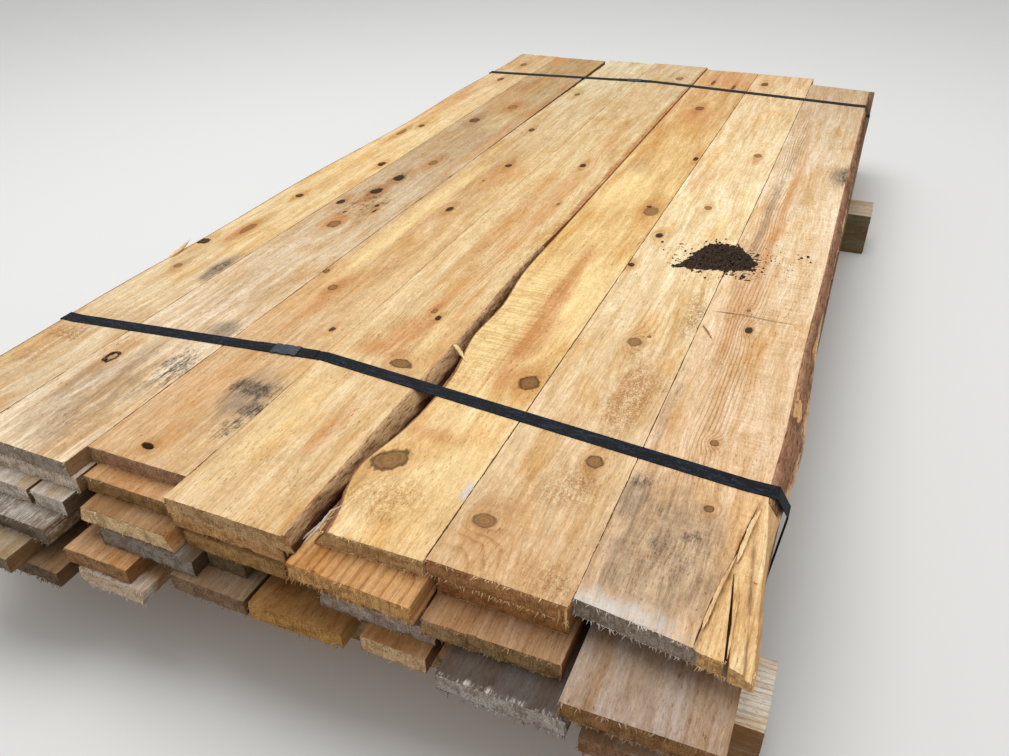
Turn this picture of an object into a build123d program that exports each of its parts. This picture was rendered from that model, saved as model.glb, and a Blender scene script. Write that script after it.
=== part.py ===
from build123d import *
from collections import namedtuple
import os

# A bundle of rough-sawn cedar boards, seven layers high, held by two flat steel straps.
# It lies across two square timbers.
# +X runs across the boards, +Y along them towards the far ends, +Z up.

# Driving dimensions, in millimetres
board_thickness = 27.0
board_length = 2438.0
near_line = -1190.0         # the plane that the near ends are measured from
top_left = -615.5           # left edge of the top layer
bearer_side = 112.0         # the two timbers that the boards lie across
bearer_length = 1300.0
bearer_arris = 4.0
near_bearer_y = -1044.0
near_bearer_right = 670.0
far_bearer_y = 638.0
far_bearer_right = 695.0
strap_width = 25.0
strap_thickness = 1.0
front_strap_y = -886.0      # where the front strap turns over the two edges
front_strap_bow = 58.0      # how far its top run is pushed along the boards at the seal
rear_strap_y = 962.0
rear_strap_bow = 62.0
strap_kink_x = -104.0       # where the top run of the front strap bends
rear_kink_x = -40.0
strap_slant_start = 30.0    # how far inside the two edges the top run leaves them square
tail_length = 112.0         # the lapped end of a strap
tail_middle = 70.0          # from the bend to the middle of the lapped end
seal_length = 46.0
seal_wall = 0.9
seal_clearance = 0.3
crimp_width = 7.0
crimp_depth = 1.6
split_length = 133.0        # the split at the near end of the right-hand top board
split_mouth = 6.0
split_from_edge = 1.0
split_lean = 20.0           # how far it runs across the board
knot_hole_length = 27.0
knot_hole_width = 9.0
knot_hole_depth = 10.0
knot_hole_x = 79.0          # from the left edge of its board
knot_hole_y = 34.0          # from the near end of its board
knot_hole_turn = 12.0       # degrees
cut_margin = 10.0           # how far a cutting shape runs past what it cuts

# Each board: its letter, its width, how far its near end stands in from the near line,
# what its length differs from the nominal one by, and the gap to the next board.
Board = namedtuple("Board", "letter width near extra gap")

# Each layer, from the top down: its left edge, measured from that of the top layer, and its boards.
layers = [
    (0.0, [
        Board("a", 147, 0, 7, 1.5), Board("b", 183, -4, 3, 1.5), Board("c", 174, 36, -22, 1.0),
        Board("d", 187, -6, 35, 2.0), Board("e", 175, 21, -22, 2.0), Board("f", 179, 29, -29, 1.5),
        Board("g", 177, 40, -122, 0)]),
    (8.5, [
        Board("a", 158, 14, 8, 3.5), Board("b", 170, -2, 2, 4.0), Board("c", 159, 7, -14, 3.5),
        Board("d", 181, -2, 21, 16.0), Board("e", 179, -20, 12, 3.0), Board("f", 168, 30, -20, 5.0),
        Board("g", 190, 61, -60, 0)]),
    (15.5, [
        Board("a", 72, -14, 0, 4.0), Board("b", 169, -27, 22, 5.0), Board("c", 64, -26, 10, 22.0),
        Board("d", 168, -24, 5, 5.0), Board("e", 163, -6, 18, 9.0), Board("f", 182, 14, -12, 6.0),
        Board("g", 175, -14, 16, 12.0), Board("h", 176, -54, 14, 0)]),
    (23.5, [
        Board("a", 122, -21, 14, 4.0), Board("b", 172, -60, 26, 68.0), Board("c", 162, -29, 0, 4.0),
        Board("d", 61, -6, -8, 5.0), Board("e", 106, 14, 6, 4.0), Board("f", 166, -5, 16, 27.0),
        Board("g", 158, -57, 30, 16.0), Board("h", 147, 7, -18, 0)]),
    (8.5, [
        Board("a", 100, 14, -10, 7.0), Board("b", 171, -105, 34, 56.0), Board("c", 113, -57, 20, 59.0),
        Board("d", 122, -39, 6, 5.0), Board("e", 140, -39, 24, 21.0), Board("f", 92, -27, 0, 10.0),
        Board("g", 179, -14, 12, 11.0), Board("h", 147, -50, 28, 0)]),
    (8.5, [
        Board("a", 158, 10, 0, 21.0), Board("b", 157, -82, 18, 19.0), Board("c", 122, -62, 26, 10.0),
        Board("d", 180, 2, 8, 5.0), Board("e", 175, 12, -6, 5.0), Board("f", 180, 4, 12, 6.0),
        Board("g", 169, 14, -4, 0)]),
    (15.5, [
        Board("a", 172, 15, -12, 3.5), Board("b", 178, 30, 6, 3.5), Board("c", 165, 8, 14, 3.5),
        Board("d", 180, 40, -30, 3.5), Board("e", 175, 20, 0, 3.5), Board("f", 170, 35, -16, 3.5),
        Board("g", 168, 12, 8, 0)]),
]

# Waney edges, where the board keeps the shape of the tree: distance from the near end, and how
# far the upper and the lower arris lie inside the sawn width. A negative figure lies outside it.
waney_left = {
    "1_a": [(0, 4, 1), (180, 9, 3), (420, 3, -2), (700, 8, 2), (980, 2, -3), (1300, 10, 4),
            (1560, 16, 8), (1850, 7, 1), (2150, 12, 5), (2445, 6, 2)],
    "1_c": [(0, 0, 0), (500, 0, 0), (1000, 0, 0), (1400, 1, 1), (1900, 6, 5), (2416, 14, 12)],
    "1_e": [(0, 43, 20), (50, 33, 17), (115, 14, 12), (190, 25, 18), (265, 34, 25), (402, 29, 21),
            (480, 13, 11), (602, 15, 9), (710, 3, 2), (850, 0, 0), (1150, 0, 0), (1500, 0, 0),
            (2416, 1, 1)],
    "3_d": [(0, 9, 0), (90, 6, 0), (240, 3, 0), (1200, 5, 0), (2443, 4, 0)],
    "5_b": [(0, 10, 2), (300, 6, 0), (1200, 12, 3), (2472, 5, 0)],
    "7_a": [(0, 12, 3), (800, 5, 0), (1700, 14, 4), (2426, 6, 0)],
}
waney_right = {
    "1_d": [(0, 2, -12), (140, 4, -9), (305, 5, -19), (430, 5, -13), (560, 5, -7), (740, 10, 3),
            (860, 9, 5), (960, 4, 2), (1100, 1, 0), (1500, 1, 0), (2000, 1, 0), (2473, 1, 0)],
    "1_g": [(0, -26, -27), (60, -20, -26), (130, -13, -18), (200, -8, -15), (265, 1, -17),
            (360, 1, -25), (560, 2, -21), (900, 1, -13), (1250, 2, -14), (1760, 1, -7), (2316, 0, -2)],
    "3_d": [(0, 14, 0), (70, 9, 0), (240, 4, 0), (1300, 8, 0), (2443, 5, 0)],
    "2_e": [(0, 4, 0), (300, 6, 0), (1200, 3, 0), (2450, 5, 0)],
    "4_b": [(0, 2, 0), (500, 9, 0), (1500, 4, 0), (2464, 8, 0)],
    "6_c": [(0, 3, 12), (200, 0, 10), (1200, 0, 6), (2464, 0, 8)],
    "7_g": [(0, 8, 0), (900, 14, 2), (1800, 6, 0), (2446, 10, 2)],
}

# Ends sawn out of square: how much further in the near end lies on the right than on the left.
near_skew = {"1_a": -3, "1_c": 2, "1_e": 3, "1_f": -4, "1_g": -22, "2_e": -5, "3_g": 4, "3_h": 5,
             "5_e": 4}

layer_count = len(layers)
stack_top = bearer_side + layer_count * board_thickness


def underside(number):
    """Height of the lower face of a layer, counted from the top one."""
    return bearer_side + (layer_count - number) * board_thickness


def edge_points(x_edge, inward, y_near, length, wane, column):
    """Points of one long edge, from the near end to the far end."""
    if not wane:
        return [(x_edge, y_near), (x_edge, y_near + length)]
    reach = wane[-1][0]
    return [(x_edge + inward * row[column], y_near + row[0] * length / reach) for row in wane]


def outline(left_points, right_points):
    """The closed outline of a board's face between its two long edges."""
    with BuildLine() as edges:
        for points in (left_points, right_points):
            if len(points) > 2:
                Spline(*points)
            else:
                Line(*points)
        Line(left_points[0], right_points[0])
        Line(left_points[-1], right_points[-1])
    return edges.line


def sawn_board(label, board, x_left, z_low):
    """One board, with its sawn or waney edges and its ends as they were cut."""
    x_right = x_left + board.width
    length = board_length + board.extra
    y_left = near_line + board.near
    y_right = y_left + near_skew.get(label, 0)
    left_wane = waney_left.get(label)
    right_wane = waney_right.get(label)
    with BuildPart() as piece:
        for z, column in ((z_low, 2), (z_low + board_thickness, 1)):
            with BuildSketch(Plane.XY.offset(z)):
                left_points = edge_points(x_left, 1, y_left, length, left_wane, column)
                right_points = edge_points(x_right, -1, y_right, length, right_wane, column)
                add(outline(left_points, right_points))
                make_face()
        loft(ruled=True)
        if label == "1_g":
            extrude(split_outline(x_right, y_right, z_low), amount=board_thickness, mode=Mode.SUBTRACT)
        if label == "1_c":
            hole = knot_hole_outline(x_left, y_left, z_low + board_thickness)
            extrude(hole, amount=-knot_hole_depth, mode=Mode.SUBTRACT)
    piece.part.label = "board_" + label
    return piece.part


def split_outline(x_right, y_near, z):
    """The open split that parts a sliver from the near end of the board."""
    mouth = x_right - split_from_edge
    with BuildSketch(Plane.XY.offset(z)) as split:
        with BuildLine():
            Polyline(
                (mouth, y_near - cut_margin),
                (mouth - split_mouth, y_near - cut_margin),
                (mouth - split_lean, y_near + split_length),
                close=True)
        make_face()
    return split.sketch


def knot_hole_outline(x_left, y_near, z):
    """The hole of a knot that has fallen out, lying across the board."""
    with BuildSketch(Plane.XY.offset(z)) as hole:
        with Locations((x_left + knot_hole_x, y_near + knot_hole_y)):
            Ellipse(knot_hole_length / 2, knot_hole_width / 2, rotation=knot_hole_turn)
    return hole.sketch


def inset_at(rows, column, distance):
    """The smallest inset of a waney edge's points under a strap and next to it."""
    before = [row[column] for row in rows if row[0] < distance - strap_width]
    under = [row[column] for row in rows if abs(row[0] - distance) <= strap_width]
    after = [row[column] for row in rows if row[0] > distance + strap_width]
    return min(before[-1:] + under + after[:1], default=0)


def section_corners(y_side):
    """Corners of the stack's cross-section under a strap, one rectangle for each layer."""
    corners = []
    for number, (shift, boards) in enumerate(layers, 1):
        first, last = boards[0], boards[-1]
        left_wane = waney_left.get(str(number) + "_" + first.letter, [])
        right_wane = waney_right.get(str(number) + "_" + last.letter, [])
        x_left = top_left + shift
        x_right = x_left + sum(board.width + board.gap for board in boards)
        for z, column in ((underside(number), 2), (underside(number) + board_thickness, 1)):
            left = inset_at(left_wane, column, y_side - near_line - first.near)
            right = inset_at(right_wane, column, y_side - near_line - last.near)
            corners += [(x_left + left, z), (x_right - right, z)]
    return corners


def course(x_kink, y_side, bow):
    """The space that a strap runs in: bowed along the boards on top, straight underneath."""
    x_turn = -top_left - strap_slant_start
    x_far = -top_left + 10 * strap_width
    bowed = [(-x_far, y_side), (-x_turn, y_side), (x_kink, y_side + bow), (x_turn, y_side), (x_far, y_side)]
    straight = [(-x_far, y_side), (x_far, y_side)]
    with BuildPart() as space:
        for route, height in ((bowed, stack_top), (straight, -stack_top)):
            near_side = [(x, y - strap_width / 2) for x, y in route]
            far_side = [(x, y + strap_width / 2) for x, y in reversed(route)]
            with BuildSketch(Plane.XY.offset(stack_top / 2)):
                with BuildLine():
                    Polyline(near_side + far_side, close=True)
                make_face()
            extrude(amount=height)
    return space.part


def strap(label, x_kink, y_side, bow):
    """One strap, pulled tight round the layers, with its lapped end on top."""
    space = course(x_kink, y_side, bow)
    with BuildPart() as band:
        with BuildSketch(Plane.XZ.offset(-y_side)) as ring:
            with BuildLine():
                corners = section_corners(y_side)
                for start, end in zip(corners, corners[1:] + corners[:1]):
                    Line(start, end)
            make_hull()
            inner = ring.sketch
            offset(amount=strap_thickness, kind=Kind.ARC)
            add(inner, mode=Mode.SUBTRACT)
        extrude(amount=2 * abs(bow) + strap_width, both=True)
        add(space, mode=Mode.INTERSECT)
        with BuildSketch(lap_plane(x_kink, y_side, bow)):
            Rectangle(tail_length, strap_width)
        extrude(amount=strap_thickness)
    band.part.label = label
    return band.part


def lap_plane(x_kink, y_side, bow):
    """On the strap's upper face, at the middle of the lap, with +X along the strap."""
    x_turn = -top_left - strap_slant_start
    slope = Vector(x_kink + x_turn, bow, 0)
    bend = Vector(x_kink, y_side + bow, stack_top + strap_thickness)
    return Plane(origin=bend - slope.normalized() * tail_middle, x_dir=slope, z_dir=(0, 0, 1))


def seal(label, x_kink, y_side, bow):
    """The crimped clip that holds the two ends of a strap together."""
    base = lap_plane(x_kink, y_side, bow)
    inside = strap_width + 2 * seal_clearance
    height = 2 * strap_thickness + seal_clearance
    with BuildPart() as clip:
        with BuildSketch(base.offset(-strap_thickness)):
            Rectangle(seal_length, inside + 2 * seal_wall)
        extrude(amount=height + seal_wall)
        with BuildSketch(base.offset(-strap_thickness)):
            Rectangle(seal_length, inside)
        extrude(amount=height, mode=Mode.SUBTRACT)
        with BuildSketch(base.offset(height - strap_thickness + seal_wall)):
            for side in (-1, 1):
                with Locations((-seal_length / 4, side * (inside / 2 + seal_wall)),
                               (seal_length / 4, side * (inside / 2 + seal_wall))):
                    Ellipse(crimp_width / 2, crimp_depth)
        extrude(amount=-height - seal_wall, mode=Mode.SUBTRACT)
    clip.part.label = label
    return clip.part


def bearer(label, x_right, y_middle):
    """A square timber across the boards, under them, with worn arrises."""
    with BuildPart() as timber:
        with BuildSketch(Plane.YZ.offset(x_right - bearer_length)):
            with Locations((y_middle, bearer_side / 2)):
                Rectangle(bearer_side, bearer_side)
        extrude(amount=bearer_length)
        fillet(timber.edges().filter_by(Axis.X), radius=bearer_arris)
    timber.part.label = label
    return timber.part


def bundle_pieces():
    """Every piece of the bundle, from the top layer down, and then its straps and bearers."""
    pieces = []
    for number, (shift, boards) in enumerate(layers, 1):
        x_left = top_left + shift
        for board in boards:
            label = str(number) + "_" + board.letter
            pieces.append(sawn_board(label, board, x_left, underside(number)))
            x_left += board.width + board.gap
    for place, x_kink, y_side, bow in (
            ("front", strap_kink_x, front_strap_y, front_strap_bow),
            ("rear", rear_kink_x, rear_strap_y, rear_strap_bow)):
        pieces.append(strap("strap_" + place, x_kink, y_side, bow))
        pieces.append(seal("seal_" + place, x_kink, y_side, bow))
    pieces.append(bearer("bearer_near", near_bearer_right, near_bearer_y))
    pieces.append(bearer("bearer_far", far_bearer_right, far_bearer_y))
    return pieces


# The origin is at the middle of the bundle's underside
pieces = bundle_pieces()
boxes = [piece.bounding_box() for piece in pieces]
middle_x = (min(box.min.X for box in boxes) + max(box.max.X for box in boxes)) / 2
middle_y = (min(box.min.Y for box in boxes) + max(box.max.Y for box in boxes)) / 2
os.makedirs("parts", exist_ok=True)
for piece in pieces:
    piece.locate(Location((-middle_x, -middle_y, 0)))
    export_step(piece, "parts/" + piece.label + ".step")
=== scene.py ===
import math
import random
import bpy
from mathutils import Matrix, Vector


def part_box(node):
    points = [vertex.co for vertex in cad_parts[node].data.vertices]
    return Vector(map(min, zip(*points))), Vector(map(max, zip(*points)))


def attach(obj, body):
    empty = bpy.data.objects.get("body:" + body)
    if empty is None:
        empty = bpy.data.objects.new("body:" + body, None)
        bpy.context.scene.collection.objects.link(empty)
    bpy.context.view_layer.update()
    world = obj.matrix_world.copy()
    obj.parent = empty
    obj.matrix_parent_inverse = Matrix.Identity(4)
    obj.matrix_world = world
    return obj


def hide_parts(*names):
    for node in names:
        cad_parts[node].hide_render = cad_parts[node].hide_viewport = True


bl_info = {
    "name": "Cedar Board Bundle",
    "version": (1, 1, 0),
    "blender": (4, 5, 0),
    "location": "View3D > Sidebar > Cedar Boards",
    "description": "Dresses a strapped bundle of cedar boards with grain, knots, bark, splinters and dirt",
    "category": "Object",
}

from collections import namedtuple
from itertools import combinations

import bmesh
import bpy
from bpy.props import FloatProperty, FloatVectorProperty, PointerProperty
from mathutils import Matrix, Vector, noise

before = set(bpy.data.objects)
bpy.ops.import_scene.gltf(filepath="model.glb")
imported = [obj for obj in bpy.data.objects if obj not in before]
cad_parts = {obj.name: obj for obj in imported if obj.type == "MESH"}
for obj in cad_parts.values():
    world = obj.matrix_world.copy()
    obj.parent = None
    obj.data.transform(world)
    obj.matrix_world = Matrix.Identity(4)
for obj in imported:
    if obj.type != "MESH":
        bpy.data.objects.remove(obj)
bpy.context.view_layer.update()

MM = 0.001


def srgb(red, green, blue):
    """A colour as a screen shows it, 0 to 255, as the linear values that shaders use."""
    linear = []
    for level in (red / 255, green / 255, blue / 255):
        linear.append(level / 12.92 if level <= 0.04045 else ((level + 0.055) / 1.055) ** 2.4)
    return tuple(linear)


# Settings that a user would change


def colour(name, description, red, green, blue):
    """A colour property, with its default given as a screen shows it."""
    default = srgb(red, green, blue)
    return FloatVectorProperty(
        name=name, description=description, subtype="COLOR", size=3, min=0, max=1, default=default
    )


def length(name, description, millimetres):
    """A length property, with its default given in millimetres."""
    return FloatProperty(name=name, description=description, default=millimetres * MM, unit="LENGTH")


class CedarSettings(bpy.types.PropertyGroup):
    arris_wear: length("Arris Wear", "How far a sawn arris is rounded", 1.0)
    chip_depth: length("Chip Depth", "Deepest chip along an arris", 5.0)
    face_relief: length("Face Relief", "How much a rough-sawn face rises and falls", 0.6)
    fibre_length: length("Fibre Length", "Longest frayed fibre at a sawn end", 8.0)
    fibre_gap: length("Fibre Gap", "Distance between two frayed fibres", 2.2)
    bark_depth: length("Bark Depth", "How far bark stands off the wood", 3.5)
    pale: colour("Sapwood", "Pale yellow sapwood", 246, 218, 158)
    warm: colour("Heartwood Streak", "Orange-brown streaks in the heartwood", 202, 144, 90)
    weathered: colour("Weathered", "Wood that has turned grey in the weather", 158, 138, 116)
    chalk: colour("Bleached", "Fibres bleached by the sun", 214, 206, 196)
    soot: colour("Soot", "Blue-black stain", 58, 52, 52)
    knot: colour("Knot", "The wood inside a knot", 152, 110, 66)
    knot_rim: colour("Knot Rim", "The dark rim and the cracks of a knot", 34, 18, 9)
    soil: colour("Soil", "Dark soil that has dried on the boards", 56, 45, 38)


class StrapSettings(bpy.types.PropertyGroup):
    steel: colour("Blackened Steel", "The strap's finish", 14, 16, 20)
    # The scuffs are rubbed spots and also painted sheen, the sky seen in the black steel; so are the seal's.
    scuff_and_sheen: colour("Scuff", "Where the finish is rubbed", 58, 68, 86)
    seal_steel: colour("Seal", "The seals' finish", 62, 66, 74)
    seal_scuff_and_sheen: colour("Seal Scuff", "Where a seal is rubbed", 104, 110, 118)
    gloss: FloatProperty(
        name="Roughness", description="Of the blackened steel", default=0.5, subtype="FACTOR"
    )


class StageSettings(bpy.types.PropertyGroup):
    focal_length: FloatProperty(
        name="Focal Length",
        description="Of a lens on a frame 36 mm wide",
        default=29.4,
        subtype="DISTANCE_CAMERA",
    )
    sky_strength: FloatProperty(name="Sky Strength", description="Light from all round", default=0.6)
    key_power: FloatProperty(
        name="Key Power", description="Power of the large soft lamp", default=140.0, unit="POWER"
    )
    floor: colour("Floor", "The plain pale floor", 226, 226, 224)


# Shader maths

# Dry wood and bark reflect little
dull = {"Specular IOR Level": 0.15}


class Value:
    """A socket of a shader. Python's operators on it add Math nodes."""

    def __init__(self, shader, socket):
        self.shader = shader
        self.socket = socket

    def output(self, name):
        """Another output of the same node."""
        return Value(self.shader, self.socket.node.outputs[name])

    def math(self, operation, *others, clamp=False):
        sockets = {index + 1: other for index, other in enumerate(others)}
        settings = {"operation": operation, "use_clamp": clamp}
        return self.shader.node("ShaderNodeMath", settings, {0: self, **sockets})

    def __add__(self, other):
        return self.math("ADD", other)

    __radd__ = __add__

    def __sub__(self, other):
        return self.math("SUBTRACT", other)

    def __rsub__(self, other):
        return self.shader.node("ShaderNodeMath", {"operation": "SUBTRACT"}, {0: other, 1: self})

    def __mul__(self, other):
        return self.math("MULTIPLY", other)

    __rmul__ = __mul__

    def __truediv__(self, other):
        return self.math("DIVIDE", other)

    def clamp(self):
        return self.math("ADD", 0, clamp=True)

    def step(self, low, high):
        """0 below low and 1 above high, with a smooth slope between them. It falls if low is above high."""
        sockets = {"Value": self, "From Min": min(low, high), "From Max": max(low, high)}
        slope = self.shader.node("ShaderNodeMapRange", {"interpolation_type": "SMOOTHSTEP"}, sockets)
        return 1 - slope if low > high else slope


class Shader:
    """One material's nodes."""

    def __init__(self, name):
        self.material = bpy.data.materials.new(name)
        self.material.use_nodes = True
        self.tree = self.material.node_tree
        self.tree.nodes.clear()

    def node(self, kind, settings=None, sockets=None, output=0):
        """Adds a node, sets it up, connects or fills its sockets, and gives one output."""
        node = self.tree.nodes.new(kind)
        for key, value in (settings or {}).items():
            setattr(node, key, value)
        for key, value in (sockets or {}).items():
            socket = node.inputs[key] if isinstance(key, int) else self.find(node.inputs, key)
            if isinstance(value, Value):
                self.tree.links.new(value.socket, socket)
            elif socket.type == "RGBA" and len(value) == 3:
                socket.default_value = (*value, 1)
            else:
                socket.default_value = value
        if not node.outputs:
            return None
        found = node.outputs[output] if isinstance(output, int) else self.find(node.outputs, output)
        return Value(self, found)

    @staticmethod
    def find(sockets, key):
        """A socket by its identifier, or else by its name."""
        for socket in sockets:
            if socket.identifier == key:
                return socket
        return sockets[key]

    def attribute(self, name, output="Fac"):
        return self.node("ShaderNodeAttribute", {"attribute_name": name}, output=output)

    def parts(self, vector):
        """The three numbers of a vector."""
        split = self.node("ShaderNodeSeparateXYZ", None, {"Vector": vector})
        return split, split.output("Y"), split.output("Z")

    def vector(self, x, y, z):
        return self.node("ShaderNodeCombineXYZ", None, {"X": x, "Y": y, "Z": z})

    def stretch(self, vector, scale, shift=(0, 0, 0)):
        """A vector scaled along each axis, and then moved."""
        settings = {"operation": "MULTIPLY_ADD"}
        return self.node("ShaderNodeVectorMath", settings, {0: vector, 1: scale, 2: shift})

    def noise(self, vector, detail=2.0, roughness=0.5):
        """Smooth noise, from 0 to 1, with features of about one unit."""
        sockets = {"Vector": vector, "Scale": 1.0, "Detail": detail, "Roughness": roughness}
        return self.node("ShaderNodeTexNoise", None, sockets)

    def mix(self, factor, first, second, blend="MIX"):
        """Two colours mixed: the second where the factor is 1."""
        settings = {"data_type": "RGBA", "blend_type": blend}
        sockets = {"Factor_Float": factor, "A_Color": first, "B_Color": second}
        return self.node("ShaderNodeMix", settings, sockets, "Result_Color")

    def tint(self, colour, factor, red, green, blue):
        """A colour multiplied by three numbers, as far as the factor says."""
        return self.mix(factor, colour, (red, green, blue), "MULTIPLY")

    def vary(self, colour, mask, low, high):
        """A colour multiplied by three numbers, which go from the low ones to the high ones with the mask."""
        return self.mix(1.0, colour, self.mix(mask, low, high), "MULTIPLY")

    def finish(self, colour, roughness, height=None, strength=1.0, depth=1 * MM, extra=None):
        """The surface: one Principled shader, with a bump from a height."""
        sockets = {"Base Color": colour, "Roughness": roughness, **(extra or {})}
        if height is not None:
            bump = {"Height": height, "Strength": strength, "Distance": depth}
            sockets["Normal"] = self.node("ShaderNodeBump", None, bump)
        surface = self.node("ShaderNodeBsdfPrincipled", None, sockets)
        self.node("ShaderNodeOutputMaterial", None, {"Surface": surface})
        return self.material


class CedarShader(Shader):
    """Rough-sawn cedar. Tones, stains, rings and knots come from attributes that each board carries."""

    def __init__(self, settings):
        super().__init__("Rough-sawn cedar")
        self.settings = settings
        self.read_board()
        self.bend_grain()
        self.grow_rings()
        self.make_noises()

    def read_board(self):
        """What the attributes say at a point of a board."""
        self.grain = self.attribute("grain", "Vector")
        self.across, self.along, self.up = self.parts(self.grain)
        self.pith_x, self.pith_z, self.seed = self.parts(self.attribute("pith", "Vector"))
        self.ring_depth, self.ring_gap, self.saw_depth = self.parts(self.attribute("figure", "Vector"))
        self.knot_x, self.knot_y, self.knot_dark = self.parts(self.attribute("knot", "Vector"))
        self.soot, self.torn, self.sawn = self.parts(self.attribute("wear", "Vector"))
        stain = self.node("ShaderNodeSeparateColor", None, {"Color": self.attribute("stain", "Color")})
        self.warm, self.pale, self.grey = stain, stain.output("Green"), stain.output("Blue")
        self.chalk = self.attribute("stain", "Alpha")
        self.tone = self.attribute("tone", "Color")
        self.cut = self.attribute("cut")
        self.shift = self.vector(self.seed * 3.7, self.seed * 1.9, self.seed * 2.3)

    def fibre(self, scale, detail=2.0, roughness=0.5):
        """Noise whose features are as many to the metre as the three numbers say."""
        return self.noise(self.stretch(self.grain, scale, self.shift), detail, roughness)

    def bent_fibre(self, scale, detail=2.0, roughness=0.5, shift=None):
        """Noise that follows the bends of the grain."""
        return self.noise(self.stretch(self.bent, scale, shift or self.shift), detail, roughness)

    def bend_grain(self):
        """Nothing on a board runs quite straight, and the grain flows round a knot."""
        self.bend = self.fibre((9, 2.0, 9), 2) - 0.5
        self.sway = self.fibre((34, 9, 34), 2) - 0.5
        self.knot_far = (self.knot_x * self.knot_x + self.knot_y * self.knot_y).math("SQRT")
        self.knot_pull = (self.knot_far * self.knot_far * -0.22).math("EXPONENT")
        aside = self.bend * 0.045 + self.sway * 0.012 - self.knot_x * self.knot_pull * 0.013
        self.bent = self.vector(self.across + aside, self.along, self.up)

    def grow_rings(self):
        """Growth rings about a pith that wanders along the board."""
        drift_x = self.noise(self.vector(self.seed * 7.1, self.along * 1.3, 0.0)) - 0.5
        drift_z = self.noise(self.vector(self.seed * 4.3, self.along * 1.7, 5.0)) - 0.5
        from_x = self.across - self.pith_x + drift_x * 0.05
        from_z = self.up - self.pith_z + drift_z * 0.06
        radius = (from_x * from_x + from_z * from_z).math("SQRT")
        radius = radius + self.bend * 0.030 + self.sway * 0.006 + self.knot_pull * 0.014
        ring = (radius / self.ring_gap).math("FRACT")
        self.late = ring.step(0.50, 0.92) * ring.step(1.0, 0.94)

    def make_noises(self):
        """Broad blotches, soft streaks and the fuzz that a coarse saw leaves."""
        self.blotch = self.bent_fibre((13, 4.5, 13), 4, 0.62)
        self.cloud = self.bent_fibre((19, 6.5, 19), 4, 0.65, (7, 3, 1))
        self.streak = self.bent_fibre((52, 3.6, 52), 4, 0.65)
        self.line = self.bent_fibre((230, 13, 230), 3, 0.65)
        self.mottle = self.fibre((85, 42, 85), 4, 0.75)
        self.fuzz = self.fibre((600, 120, 600), 3, 0.78)
        self.fleck = self.fibre((280, 80, 280), 3, 0.75)
        self.speck = self.fibre((420, 170, 420), 3, 0.75)
        self.curl_patch = self.fibre((16, 9, 16), 2)

    def plain_wood(self):
        """A board's own tone, with blotches, streaks and growth rings."""
        wood = self.tint(self.tone, self.blotch.step(0.48, 0.68), 0.92, 0.80, 0.62)
        wood = self.tint(wood, self.cloud.step(0.50, 0.72) * 0.7, 0.90, 0.89, 0.88)
        wood = self.tint(wood, self.cloud.step(0.50, 0.30), 1.08, 1.13, 1.20)
        wood = self.vary(wood, self.streak.step(0.32, 0.70), (1.08, 1.12, 1.18), (0.88, 0.79, 0.66))
        wood = self.vary(wood, self.line.step(0.34, 0.68), (1.06, 1.09, 1.13), (0.89, 0.84, 0.78))
        return self.tint(wood, self.late * self.ring_depth * (self.mottle * 0.8 + 0.6), 0.58, 0.41, 0.27)

    def stained(self, wood):
        """The painted stains, each broken up by the grain."""
        settings, streak, line, mottle = self.settings, self.streak, self.line, self.mottle
        wood = self.mix(self.pale * (streak.step(0.70, 0.34) * 0.5 + 0.5), wood, settings.pale)
        warm_mask = self.warm * (line.step(0.30, 0.66) * 0.25 + streak.step(0.36, 0.62) * 0.4 + 0.5)
        wood = self.mix(warm_mask.clamp(), wood, settings.warm)
        grey_mask = self.grey * 1.1 + (streak - 0.5) * 0.9 + (mottle - 0.5) * 0.5
        grey_mask = grey_mask.step(0.05, 1.0) * self.grey.step(0.0, 0.3)
        wood = self.mix(grey_mask * 0.9, wood, settings.weathered)
        wood = self.tint(wood, self.grey * line.step(0.44, 0.66), 0.72, 0.66, 0.60)
        chalk_mask = self.chalk * 1.05 + (self.fuzz - 0.5) * 2.0 + (line - 0.5) * 2.4 + (mottle - 0.5) * 1.8
        wood = self.mix(chalk_mask.step(0.15, 1.15) * self.chalk.step(0.0, 0.4), wood, settings.chalk)
        soot_mask = self.soot * 1.1 + (self.speck - 0.5) * 2.4 + (mottle - 0.5) * 2.4 + (line - 0.5) * 1.4
        soot_mask = soot_mask.step(0.30, 1.35) * self.soot.step(0.0, 0.5)
        return self.mix(soot_mask * 0.85, wood, settings.soot)

    def sawn_across(self, wood):
        """Saw marks across the board, in patches."""
        kerf = self.fibre((9, 120, 9), 2, 0.6)
        patch = self.fibre((10, 7, 10), 2).step(0.48, 0.66)
        self.kerf_mask = (kerf - 0.5).math("ABSOLUTE").step(0.07, 0.01) * (patch * self.saw_depth + self.sawn)
        return self.tint(wood, (self.kerf_mask * 0.6).clamp(), 0.72, 0.58, 0.42)

    def torn_out(self, wood):
        """Curly lines where the fibres were torn out."""
        curl = self.fibre((150, 95, 150), 3, 0.72)
        curl_line = (curl - 0.5).math("ABSOLUTE").step(0.045, 0.006)
        self.torn_mask = curl_line * (self.torn + self.curl_patch.step(0.56, 0.72) * 0.45)
        wood = self.tint(wood, self.torn_mask.clamp() * 0.85, 0.52, 0.37, 0.25)
        return self.tint(wood, self.torn * self.mottle.step(0.42, 0.62) * 0.6, 0.80, 0.66, 0.50)

    def fuzzy(self, wood):
        """Fuzz over everything: fine light and dark, and dark ticks."""
        wood = self.vary(wood, self.mottle.step(0.25, 0.75), (1.09, 1.10, 1.11), (0.91, 0.90, 0.88))
        wood = self.vary(wood, self.fuzz.step(0.24, 0.76), (1.17, 1.18, 1.20), (0.82, 0.80, 0.78))
        self.tick = self.fleck.step(0.58, 0.68) * (0.45 + self.curl_patch.step(0.38, 0.62) * 0.55)
        return self.tint(wood, self.tick * 0.85, 0.55, 0.42, 0.31)

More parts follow.
